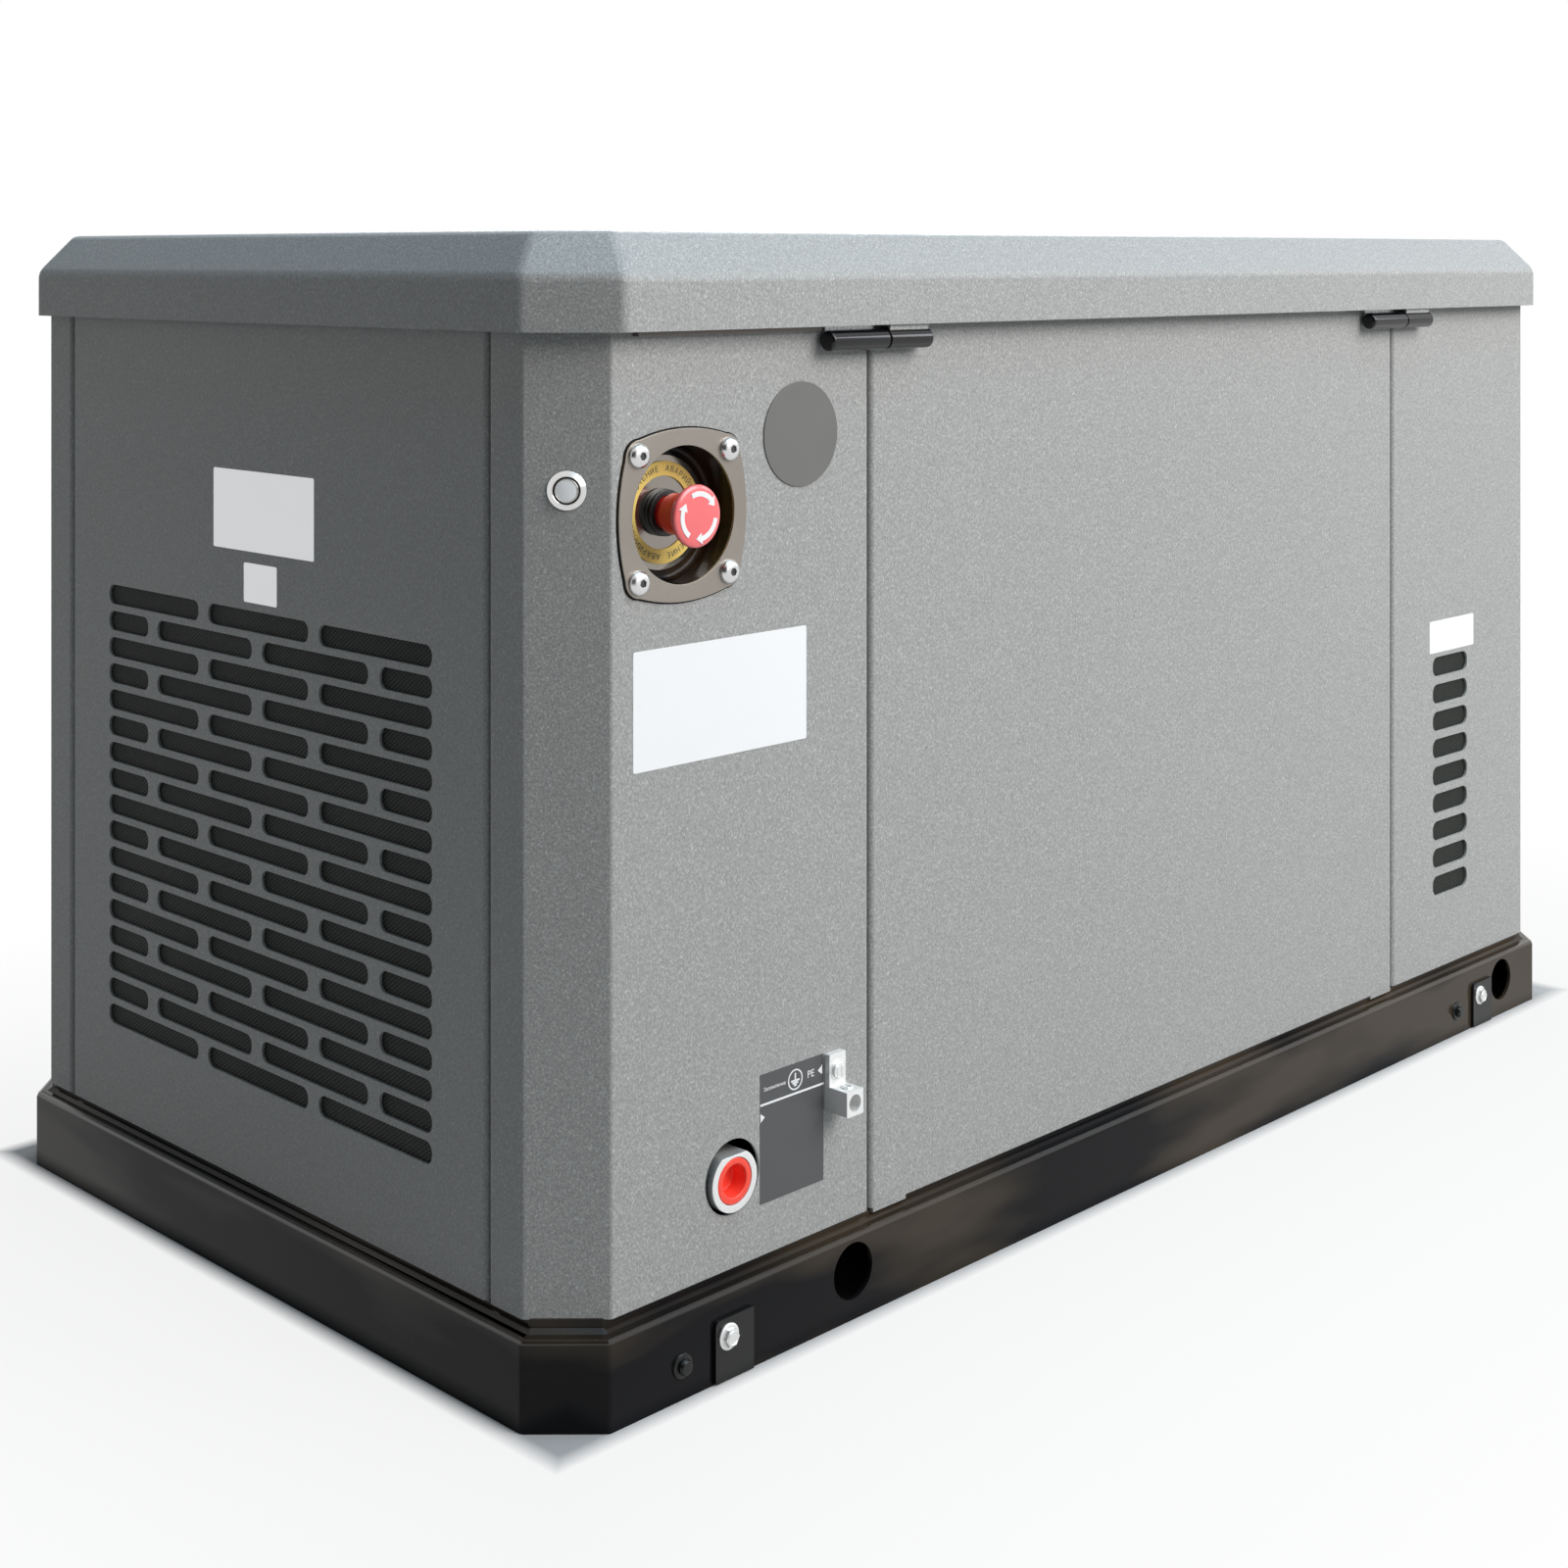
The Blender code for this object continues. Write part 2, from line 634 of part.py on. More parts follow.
def build_bracket(name, edge_x, side):
    """A hold-down plate on the skirt with its flange bolt; side is -1 in front and +1 at the rear."""
    face = side * (BASE_FRONT + GAP)
    outside = side * (BASE_FRONT + GAP + BRACKET_THICKNESS)
    plate = box(name, (edge_x, min(face, outside), 0.001),
                (edge_x + BRACKET_WIDTH, max(face, outside), BRACKET_TOP), BLACK_STEEL)
    bolt_at = (edge_x + BRACKET_BOLT_INSET, outside, BRACKET_BOLT_Z)
    flange = BOLT_HEAD_HEIGHT / 3
    profile = [(0, BOLT_HEAD_HEIGHT), (BOLT_HEAD_RADIUS, BOLT_HEAD_HEIGHT), (BOLT_HEAD_RADIUS, flange),
               (BOLT_FLANGE_RADIUS, flange), (BOLT_FLANGE_RADIUS, -BRACKET_THICKNESS / 2),
               (0, -BRACKET_THICKNESS / 2)]
    join(plate, turned(name + "_bolt", profile, at=bolt_at, along=(0, side, 0), segments=12))


def build_brackets():
    """Two hold-down brackets in front and two behind."""
    for side_name, side in (("front", -1), ("rear", 1)):
        for end_name, edge_x in zip(("left", "right"), BRACKET_EDGES_X):
            build_bracket(f"hold_down_bracket_{side_name}_{end_name}", edge_x, side)


# ---------------------------------------------------------------- frame and panels


def build_inner_frame():
    """Top rail ring and eight posts that the panels' return flanges bear on."""
    outer = octagon(POST_FACE_X, POST_FACE_Y, BODY_CORNER)
    inner = octagon(POST_FACE_X - POST_DEPTH, POST_FACE_Y - POST_DEPTH, BODY_CORNER)
    frame = prism("inner_frame", [outer, inner], RAIL_TOP - RAIL_HEIGHT, RAIL_TOP, FRAME_PAINT)
    posts = []
    overlap = RAIL_TOP - RAIL_HEIGHT / 2
    for side in (-1, 1):
        for x in (SEAM_LEFT_X, SEAM_RIGHT_X):
            near, far = sorted((side * POST_FACE_Y, side * (POST_FACE_Y - POST_DEPTH + GAP)))
            posts.append(((x - POST_WIDTH / 2, near, BODY_BOTTOM), (x + POST_WIDTH / 2, far, overlap)))
        for end in (-1, 1):
            near, far = sorted((end * POST_FACE_X, end * (POST_FACE_X - POST_DEPTH + GAP)))
            y = side * END_SEAM_Y
            posts.append(((near, y - POST_WIDTH / 2, BODY_BOTTOM), (far, y + POST_WIDTH / 2, overlap)))
    join(frame, boxes("frame_posts", posts))


def corner_path(seam_x):
    """Outer face of a corner panel at -X, -Y, from the end seam round to the long side's seam."""
    end_y = -END_SEAM_Y - SEAM / 2
    return [(-HALF_LENGTH + RETURN_FLANGE, end_y), (-HALF_LENGTH, end_y),
            (-HALF_LENGTH, -HALF_WIDTH + BODY_CORNER), (-HALF_LENGTH + BODY_CORNER, -HALF_WIDTH),
            (seam_x, -HALF_WIDTH), (seam_x, -HALF_WIDTH + RETURN_FLANGE)]


def corner_panel(name, end, side):
    """A folded corner panel; end and side are the signs of its X and Y."""
    seam_x = SEAM_LEFT_X - SEAM / 2 if end < 0 else -(SEAM_RIGHT_X + SEAM / 2)
    path = [(-end * x, -side * y) for x, y in corner_path(seam_x)]
    if end * side < 0:
        path = path[::-1]
    return folded_sheet(name, path, BODY_BOTTOM, BODY_TOP, POWDER_COAT)


def access_panel(name, side):
    """The flat panel between the two seams of a long side."""
    low, high = SEAM_LEFT_X + SEAM / 2, SEAM_RIGHT_X - SEAM / 2
    face, back = side * HALF_WIDTH, side * (HALF_WIDTH - RETURN_FLANGE)
    path = [(low, back), (low, face), (high, face), (high, back)]
    if side > 0:
        path = path[::-1]
    return folded_sheet(name, path, BODY_BOTTOM, BODY_TOP, POWDER_COAT)


def end_panel(name, end):
    """The flat panel between the two seams of an end."""
    half = END_SEAM_Y - SEAM / 2
    face, back = end * HALF_LENGTH, end * (HALF_LENGTH - RETURN_FLANGE)
    path = [(back, half), (face, half), (face, -half), (back, -half)]
    if end > 0:
        path = path[::-1]
    return folded_sheet(name, path, BODY_BOTTOM, BODY_TOP, POWDER_COAT)


def slot_field(rows, pitch):
    """Outlines of staggered rows of slots: long ones only, then one less of them between two short ones."""
    long_row = [SLOT_LONG] * SLOT_COLUMNS
    short_row = [SLOT_SHORT, *[SLOT_LONG] * (SLOT_COLUMNS - 1), SLOT_SHORT]
    outlines = []
    for row in range(rows):
        lengths = short_row if row % 2 else long_row
        y = -(sum(lengths) + SLOT_BRIDGE * (len(lengths) - 1)) / 2
        for length in lengths:
            centre = y + length / 2
            z = SLOT_TOP_ROW - row * pitch
            outlines.append(slot(centre, z, length, SLOT_HEIGHT, SLOT_HEIGHT / 2, count=2))
            y += length + SLOT_BRIDGE
    return outlines


def cut_slots(panel, name, outlines, end):
    """Cut a field of slots through an end panel."""
    middle = end * HALF_LENGTH
    cut(panel, prism(name, outlines, middle - 2 * SHEET, middle + 2 * SHEET, turn=FACING_END))


def end_screen(name, end, rows, pitch):
    """The mesh screen behind a field of slots."""
    half = (SLOT_COLUMNS * (SLOT_LONG + SLOT_BRIDGE) - SLOT_BRIDGE) / 2 + SCREEN_MARGIN
    top = SLOT_TOP_ROW + SLOT_HEIGHT / 2 + SCREEN_MARGIN
    bottom = SLOT_TOP_ROW - (rows - 1) * pitch - SLOT_HEIGHT / 2 - SCREEN_MARGIN
    outside = end * (HALF_LENGTH - SHEET - GAP)
    low, high = sorted((outside, outside - end * SCREEN_THICKNESS))
    box(name, (low, -half, bottom), (high, half, top), MESH_STEEL)


def front_hole(panel, name, radius, x, z):
    """Cut a round hole through a panel of the front side."""
    cut(panel, rod(name, radius, -3 * SHEET, 3 * SHEET, at=(x, -HALF_WIDTH, z), along=(0, -1, 0),
                   segments=FINE_SEGMENTS))


def build_panels():
    """The eight panels of the enclosure, their openings and their mesh screens."""
    front_left = corner_panel("front_left_panel", -1, -1)
    front_right = corner_panel("front_right_panel", 1, -1)
    rear_left = corner_panel("rear_left_panel", -1, 1)
    rear_right = corner_panel("rear_right_panel", 1, 1)
    access_panel("front_access_panel", -1)
    access_panel("rear_access_panel", 1)
    intake = end_panel("intake_end_panel", -1)
    outlet = end_panel("outlet_end_panel", 1)
    cut_slots(intake, "intake_slots", slot_field(SLOT_ROWS, SLOT_PITCH), -1)
    cut_slots(outlet, "outlet_slots", slot_field(OUTLET_ROWS, OUTLET_PITCH), 1)
    end_screen("intake_screen", -1, SLOT_ROWS, SLOT_PITCH)

    front_hole(front_left, "estop_hole", clear_of(ESTOP_CUP_RADIUS + ESTOP_CUP_WALL, GAP, FINE_SEGMENTS), ESTOP_X, ESTOP_Z)
    front_hole(front_left, "gas_hole", GAS_HOLE_RADIUS, GAS_X, GAS_Z)
    push_at, push_along = push_button_place()
    cut(front_left, rod("push_hole", clear_of(PUSH_BARREL_RADIUS), -3 * SHEET, 3 * SHEET, at=push_at,
                        along=push_along))

    vents = [slot(VENT_X, VENT_TOP - index * VENT_PITCH, VENT_LENGTH, VENT_HEIGHT, VENT_RADIUS, count=2)
             for index in range(VENT_COUNT)]
    cut(front_right, prism("side_vents", vents, HALF_WIDTH - 2 * SHEET, HALF_WIDTH + 2 * SHEET,
                           turn=FACING_FRONT))
    screen_y = -HALF_WIDTH + SHEET + GAP
    half = VENT_LENGTH / 2 + SCREEN_MARGIN
    bottom = VENT_TOP - (VENT_COUNT - 1) * VENT_PITCH - VENT_HEIGHT / 2 - SCREEN_MARGIN
    box("side_vent_screen", (VENT_X - half, screen_y, bottom),
        (VENT_X + half, screen_y + SCREEN_THICKNESS, VENT_TOP + VENT_HEIGHT / 2 + SCREEN_MARGIN), MESH_STEEL)

    for panel, side in ((rear_left, -1), (rear_right, 1)):
        start = side * LOCK_X + LOCK_CAM_WIDTH / 2 + SHEET
        bottom = LOCK_HEIGHT + LOCK_CAM_WIDTH / 2 + 2 * GAP
        join(panel, box(panel.name + "_keeper", (start, HALF_WIDTH - SHEET / 2, bottom),
                        (start + KEEPER_LENGTH, HALF_WIDTH + HINGE_STANDOFF, bottom + KEEPER_THICKNESS)))


# ---------------------------------------------------------------- lid, hinges and locks


def build_lid():
    """The folded lid: an upright skirt, a sloped band and a flat top, open below."""
    rings = [(HALF_LENGTH + LID_OVERHANG_X, LID_SKIRT_Y, LID_CORNER, LID_SKIRT_BOTTOM),
             (HALF_LENGTH + LID_OVERHANG_X, LID_SKIRT_Y, LID_CORNER, LID_SKIRT_TOP),
             (HALF_LENGTH - LID_TOP_INSET_X, HALF_WIDTH - LID_TOP_INSET_Y, LID_TOP_CORNER, LID_TOP)]
    shape = bmesh.new()
    loops = []
    for half_x, half_y, corner, height in rings:
        outline = octagon(half_x, half_y, corner)
        loops.append([shape.verts.new((x, y, height - HINGE_HEIGHT)) for x, y in outline])
    for lower, upper in zip(loops, loops[1:]):
        for index in range(len(lower)):
            after = (index + 1) % len(lower)
            shape.faces.new((lower[index], lower[after], upper[after], upper[index]))
    shape.faces.new(loops[-1])
    for vertex in shape.verts:
        vertex.co.y -= HINGE_Y
    mesh = bpy.data.meshes.new("lid_shell")
    shape.to_mesh(mesh)
    shape.free()
    lid = add_object("lid_shell", mesh, POWDER_COAT)
    lid.location = (0, HINGE_Y, HINGE_HEIGHT)
    bevel(lid, LID_FOLD, angle=20)
    solidify = lid.modifiers.new("sheet", "SOLIDIFY")
    solidify.thickness = SHEET
    solidify.offset = -1
    for side in (-1, 1):
        cut(lid, rod(f"lock_hole_{side}", clear_of(LOCK_SHAFT_RADIUS), -3 * SHEET, 3 * SHEET,
                     at=(side * LOCK_X, LID_SKIRT_Y, LOCK_HEIGHT), along=(0, 1, 0)))

    top = LID_TOP - SHEET - GAP
    liner_x, liner_y = HALF_LENGTH - LINER_INSET, HALF_WIDTH - LINER_INSET
    prism("lid_liner", [octagon(liner_x, liner_y, LID_TOP_CORNER)], top - LINER_THICKNESS, top, FOAM)


def build_hinge(name, centre_x):
    """A lift-off barrel hinge: the frame knuckle carries the pin, the lid knuckle is bored for it."""
    left = centre_x - HINGE_LENGTH / 2
    split = left + HINGE_SPLIT
    right = centre_x + HINGE_LENGTH / 2
    axis = (0, HINGE_Y, HINGE_HEIGHT)
    leaf_face = -HALF_WIDTH - GAP
    frame_leaf = rod(f"{name}_frame_leaf", HINGE_RADIUS, left, split, BLACK_STEEL, axis, (1, 0, 0))
    join(frame_leaf,
         box(f"{name}_frame_plate", (left + SHEET, leaf_face - HINGE_LEAF, HINGE_HEIGHT - HINGE_RADIUS / 2),
             (split - SHEET, leaf_face, HINGE_LEAF_TOP)),
         rod(f"{name}_pin", HINGE_PIN_RADIUS, split - HINGE_RADIUS, right - SHEET, at=axis, along=(1, 0, 0)))
    skirt_face = -LID_SKIRT_Y + SHEET + GAP
    lid_leaf = rod(f"{name}_lid_leaf", HINGE_RADIUS, split + 2 * GAP, right, BLACK_STEEL, axis, (1, 0, 0))
    join(lid_leaf, box(f"{name}_lid_plate", (split + SHEET, skirt_face, HINGE_HEIGHT),
                       (right - SHEET, skirt_face + HINGE_LEAF, LID_SKIRT_TOP - 2 * SHEET)))
    cut(lid_leaf, rod(f"{name}_pin_bore", clear_of(HINGE_PIN_RADIUS), left, right - SHEET + GAP, at=axis,
                      along=(1, 0, 0)))


def build_lock(name, x):
    """A quarter-turn lock in the rear skirt, with its cam hanging down, free of the keeper."""
    outside = REACH_Y - LID_SKIRT_Y
    knob_foot = GAP
    cam_face = -SHEET - GAP
    cam_back = cam_face - LOCK_CAM_THICKNESS
    profile = [(0, outside), (LOCK_KNOB_RADIUS - SHEET, outside), (LOCK_KNOB_RADIUS, outside - SHEET),
               (LOCK_KNOB_RADIUS, knob_foot), (LOCK_SHAFT_RADIUS, knob_foot), (LOCK_SHAFT_RADIUS, cam_back),
               (0, cam_back)]
    lock = turned(name, profile, BLACK_PLASTIC, (x, LID_SKIRT_Y, LOCK_HEIGHT), (0, 1, 0))
    cam_y = LID_SKIRT_Y + cam_back
    join(lock, box(name + "_cam", (x - LOCK_CAM_WIDTH / 2, cam_y, LOCK_HEIGHT - LOCK_CAM_LENGTH),
                   (x + LOCK_CAM_WIDTH / 2, cam_y + LOCK_CAM_THICKNESS, LOCK_HEIGHT)))


# ---------------------------------------------------------------- controls and fittings on the front


def bulged_square(half_mid, half_corner, radius, count=6):
    """A square whose sides bow outwards between rounded corners, anticlockwise from the right side."""
    side = []
    reach = half_corner - radius
    for index in range(count + 1):
        along = -reach + 2 * reach * index / count
        bow = (half_mid - half_corner) * (1 - (along / reach) ** 2)
        side.append((half_corner + bow, along))
    side += arc(reach, reach, radius, 0, 90, 3)[1:-1]
    points = []
    for quarter in range(4):
        turn = Matrix.Rotation(quarter * pi / 2, 2)
        points += [tuple(turn @ Vector(point)) for point in side]
    return points


def build_estop():
    """Recessed emergency stop: face plate with a cup, legend ring, collar, plunger, head and contacts."""
    centre = (ESTOP_X, -HALF_WIDTH, ESTOP_Z)
    out = (0, -1, 0)
    cup_outer = ESTOP_CUP_RADIUS + ESTOP_CUP_WALL
    floor = -ESTOP_CUP_DEPTH
    outline = bulged_square(ESTOP_HALF_MID, ESTOP_HALF_CORNER, ESTOP_PLATE_CORNER)
    front = GAP + ESTOP_PLATE
    housing = prism("estop_housing", [outline], GAP, front, BRONZE, FACING_FRONT, centre)
    cup = rod("estop_cup", cup_outer, floor - ESTOP_CUP_WALL, front - ESTOP_PLATE / 2, at=centre, along=out,
              segments=FINE_SEGMENTS)
    hollow = rod("estop_hollow", ESTOP_CUP_RADIUS, floor, 2 * front, at=centre, along=out,
                 segments=FINE_SEGMENTS)
    bore = rod("estop_bore", ESTOP_BUTTON_HOLE, 2 * floor, 0, at=centre, along=out)
    join(housing, cup)
    cut(housing, hollow, bore)

    legend_foot = floor + GAP
    tube("estop_legend_ring", ESTOP_LEGEND_OUTER, ESTOP_LEGEND_INNER, legend_foot,
         legend_foot + ESTOP_LEGEND_THICKNESS, LEGEND, centre, out, FINE_SEGMENTS)
    collar_top = legend_foot + ESTOP_COLLAR_HEIGHT
    tube("estop_collar", ESTOP_COLLAR_RADIUS, clear_of(ESTOP_NECK_RADIUS), legend_foot, collar_top,
         BLACK_PLASTIC, centre, out)

    head_back = ESTOP_HEAD_PROUD - ESTOP_HEAD_HEIGHT
    block_face = floor - ESTOP_CUP_WALL - GAP
    stem_end = block_face - CONTACT_BLOCK_DEPTH / 2
    plunger = [(0, head_back + ESTOP_HEAD_HEIGHT / 2), (ESTOP_SPIGOT_RADIUS, head_back + ESTOP_HEAD_HEIGHT / 2),
               (ESTOP_SPIGOT_RADIUS, head_back - GAP), (ESTOP_FLARE_RADIUS, head_back - GAP),
               (ESTOP_NECK_RADIUS, head_back - 2 * ESTOP_TRAVEL), (ESTOP_NECK_RADIUS, floor + ESTOP_TRAVEL + GAP),
               (ESTOP_STEM_RADIUS, floor + ESTOP_TRAVEL + GAP), (ESTOP_STEM_RADIUS, stem_end), (0, stem_end)]
    turned("estop_plunger", plunger, RED_PLASTIC, centre, out)
    edge = ESTOP_HEAD_HEIGHT / 4
    socket = clear_of(ESTOP_SPIGOT_RADIUS)
    socket_end = head_back + ESTOP_HEAD_HEIGHT / 2 + GAP
    head = [(0, ESTOP_HEAD_PROUD), (ESTOP_HEAD_RADIUS - edge, ESTOP_HEAD_PROUD - edge / 8),
            (ESTOP_HEAD_RADIUS - edge / 3, ESTOP_HEAD_PROUD - edge / 2),
            (ESTOP_HEAD_RADIUS, ESTOP_HEAD_PROUD - edge), (ESTOP_HEAD_RADIUS, head_back + edge),
            (ESTOP_HEAD_RADIUS - edge / 2, head_back), (socket, head_back), (socket, socket_end),
            (0, socket_end)]
    turned("estop_head", head, RED_PLASTIC, centre, out, FINE_SEGMENTS)

    half = CONTACT_BLOCK_SIZE / 2
    back_y = -HALF_WIDTH - block_face
    block = box("estop_contact_block", (ESTOP_X - half, back_y, ESTOP_Z - half),
                (ESTOP_X + half, back_y + CONTACT_BLOCK_DEPTH, ESTOP_Z + half), BLACK_PLASTIC)
    cut(block, rod("contact_bore", clear_of(ESTOP_STEM_RADIUS), stem_end - ESTOP_TRAVEL - 2 * GAP, 0, at=centre,
                   along=out))


def push_button_place():
    """Centre of the front left chamfer at the button's height, and its outward direction."""
    reach = BODY_CORNER / 2
    return (-HALF_LENGTH + reach, -HALF_WIDTH + reach, PUSH_Z), (-sqrt(0.5), -sqrt(0.5), 0)


def build_push_button():
    """A flush metal push button: threaded bezel and a sprung cap."""
    at, out = push_button_place()
    recess = PUSH_CAP_HEIGHT
    well = clear_of(PUSH_CAP_RADIUS, GAP, FINE_SEGMENTS)
    bezel = [(0, -recess), (well, -recess), (well, PUSH_BEZEL_HEIGHT),
             (PUSH_BEZEL_RADIUS - 0.001, PUSH_BEZEL_HEIGHT), (PUSH_BEZEL_RADIUS, PUSH_BEZEL_HEIGHT - 0.001),
             (PUSH_BEZEL_RADIUS, GAP), (PUSH_BARREL_RADIUS, GAP), (PUSH_BARREL_RADIUS, -PUSH_BARREL_DEPTH),
             (0, -PUSH_BARREL_DEPTH)]
    turned("push_button_bezel", bezel, STAINLESS, at, out, FINE_SEGMENTS)
    top = PUSH_BEZEL_HEIGHT
    cap_foot = top - PUSH_CAP_HEIGHT
    cap = [(0, top), (PUSH_CAP_RADIUS - 0.0005, top), (PUSH_CAP_RADIUS, top - 0.0005),
           (PUSH_CAP_RADIUS, cap_foot), (0, cap_foot)]
    turned("push_button_cap", cap, STAINLESS, at, out, FINE_SEGMENTS)


def build_front_fittings():
    """Round cover patch, ground lug and gas inlet with its shipping plug."""
    rod("inspection_cover", COVER_RADIUS, GAP, GAP + COVER_THICKNESS, DARK_LABEL,
        (COVER_X, -HALF_WIDTH, COVER_Z), (0, -1, 0), FINE_SEGMENTS)

    face = -HALF_WIDTH - GAP
    low_x, high_x = LUG_X - LUG_WIDTH / 2, LUG_X + LUG_WIDTH / 2
    lug = box("ground_lug", (low_x, -REACH_Y, LUG_BLOCK_BOTTOM), (high_x, face, LUG_BLOCK_TOP), ZINC)
    join(lug, box("lug_tab", (low_x, face - LUG_TAB_THICKNESS, LUG_BLOCK_TOP - LUG_TAB_THICKNESS),
                  (high_x, face, LUG_TAB_TOP)),
         rod("lug_screw", LUG_TAB_THICKNESS * 1.5, LUG_TAB_THICKNESS / 2, LUG_TAB_THICKNESS * 2,
             at=(LUG_X, face, LUG_SCREW_Z), along=(0, -1, 0), segments=12),
         rod("clamp_screw", LUG_TAB_THICKNESS, -LUG_TAB_THICKNESS / 2, LUG_TAB_THICKNESS,
             at=(LUG_X, -HALF_WIDTH - LUG_REACH * 0.6, LUG_BLOCK_TOP), segments=12))
    wire_z = (LUG_BLOCK_BOTTOM + LUG_BLOCK_TOP) / 2
    cut(lug, rod("wire_hole", LUG_WIRE_RADIUS, LUG_TAB_THICKNESS, 2 * LUG_REACH,
                 at=(LUG_X, -HALF_WIDTH, wire_z), along=(0, -1, 0)))

    at, out = (GAS_X, -HALF_WIDTH, GAS_Z), (0, -1, 0)
    inner_end = -(HALF_WIDTH + REGULATOR_Y - REGULATOR_RADIUS - GAP)
    coupling = [(0, GAS_PROUD - GAS_BORE_DEPTH), (GAS_BORE_RADIUS, GAS_PROUD - GAS_BORE_DEPTH),
                (GAS_BORE_RADIUS, GAS_PROUD), (GAS_COUPLING_RADIUS, GAS_PROUD),
                (GAS_COUPLING_RADIUS, inner_end), (0, inner_end)]
    turned("gas_inlet_coupling", coupling, ZINC, at, out, FINE_SEGMENTS)
    recess_radius = GAS_PLUG_RADIUS - 0.005
    plug = [(0, GAS_PROUD - GAS_PLUG_RECESS), (recess_radius, GAS_PROUD - GAS_PLUG_RECESS),
            (recess_radius, GAS_PROUD), (GAS_PLUG_RADIUS, GAS_PROUD),
            (GAS_PLUG_RADIUS, GAS_PROUD - GAS_PLUG_DEPTH), (0, GAS_PROUD - GAS_PLUG_DEPTH)]
    turned("gas_inlet_plug", plug, RED_PLASTIC, at, out, FINE_SEGMENTS)


# ---------------------------------------------------------------- engine


def bank_place(side, distance):
    """A point on a cylinder's axis, at a distance from the crankshaft, and the axis direction."""
    direction = Vector((0, side * sin(BANK_ANGLE), cos(BANK_ANGLE)))
    x = BANK_X[0] if side < 0 else BANK_X[1]
    return Vector((x, CRANK_Y, CRANK_Z)) + direction * distance, direction


def build_crankcase():
    """A hollow case on the cradle with a shaft bore at each end and an upright dipstick tube."""
    low = (CRANKCASE_X[0], CRANK_Y - CRANKCASE_HALF_WIDTH, CRANKCASE_Z[0])
    high = (CRANKCASE_X[1], CRANK_Y + CRANKCASE_HALF_WIDTH, CRANKCASE_Z[1])
    case = box("crankcase", low, high, CAST_ALUMINIUM)
    bevel(case, CRANKCASE_WALL)
    wall = CRANKCASE_WALL
    hollow_high = (high[0] - wall, high[1] - wall, CRANK_Z + CRANK_CHAMBER)
    cut(case, box("case_hollow", [value + wall for value in low], hollow_high),
        rod("shaft_bore", clear_of(SHAFT_RADIUS, SHAFT_CLEARANCE), low[0] - wall, high[0] + wall,
            at=(0, CRANK_Y, CRANK_Z), along=(1, 0, 0)))
    for name, side in (("left", -1), ("right", 1)):
        at, direction = bank_place(side, 0)
        cut(case, rod(f"{name}_bank_bore", clear_of(FIN_RADIUS, SHEET, FINE_SEGMENTS), CYLINDER_FOOT, 2 * CYLINDER_FOOT, at=at,
                      along=direction, segments=FINE_SEGMENTS))
    tube_x, tube_y = dipstick_place()
    boss = box("dipstick_boss", (tube_x - 0.012, high[1] - wall / 2, 0.20),
               (tube_x + 0.012, tube_y + 0.010, 0.235))
    neck = rod("dipstick_tube", 0.008, 0.21, DIPSTICK_SEAT, at=(tube_x, tube_y, 0), segments=16)
    join(case, boss, neck)
    cut(case, rod("dipstick_bore", clear_of(DIPSTICK_RADIUS), 0.215, DIPSTICK_SEAT + wall,
                  at=(tube_x, tube_y, 0), segments=16))


def dipstick_place():
    """X and Y of the dipstick, outside the case's rear face and clear of the intake pipe."""
    return CRANKCASE_X[0] + 0.045, CRANK_Y + CRANKCASE_HALF_WIDTH + DIPSTICK_STANDOFF


def build_cylinder(name, side):
    """A finned barrel with a square head."""
    foot = CYLINDER_FOOT + GAP
    top = foot + BARREL_LENGTH
    profile = [(0, top + HEAD_HEIGHT / 2), (BARREL_RADIUS, top + HEAD_HEIGHT / 2)]
    fin = FIN_PITCH / 3
    for index in range(FIN_COUNT):
        height = top - (index + 0.6) * FIN_PITCH
        profile += [(BARREL_RADIUS, height), (FIN_RADIUS, height), (FIN_RADIUS, height - fin),
                    (BARREL_RADIUS, height - fin)]
    profile += [(BARREL_RADIUS, foot), (0, foot)]
    at, direction = bank_place(side, 0)
    barrel = turned(name, profile, CAST_ALUMINIUM, at, direction)
    half = HEAD_SIZE / 2
    head = box(name + "_head", (-half, -half, -HEAD_HEIGHT / 2), (half, half, HEAD_HEIGHT / 2))
    bevel(head, 0.006)
    centre, direction = bank_place(side, head_distance())
    head.matrix_world = Matrix.Translation(centre) @ Matrix.Rotation(-side * BANK_ANGLE, 4, "X")
    join(barrel, head)


def head_distance():
    """Distance from the crankshaft to the middle of a cylinder head."""
    return CYLINDER_FOOT + GAP + BARREL_LENGTH + HEAD_HEIGHT / 2


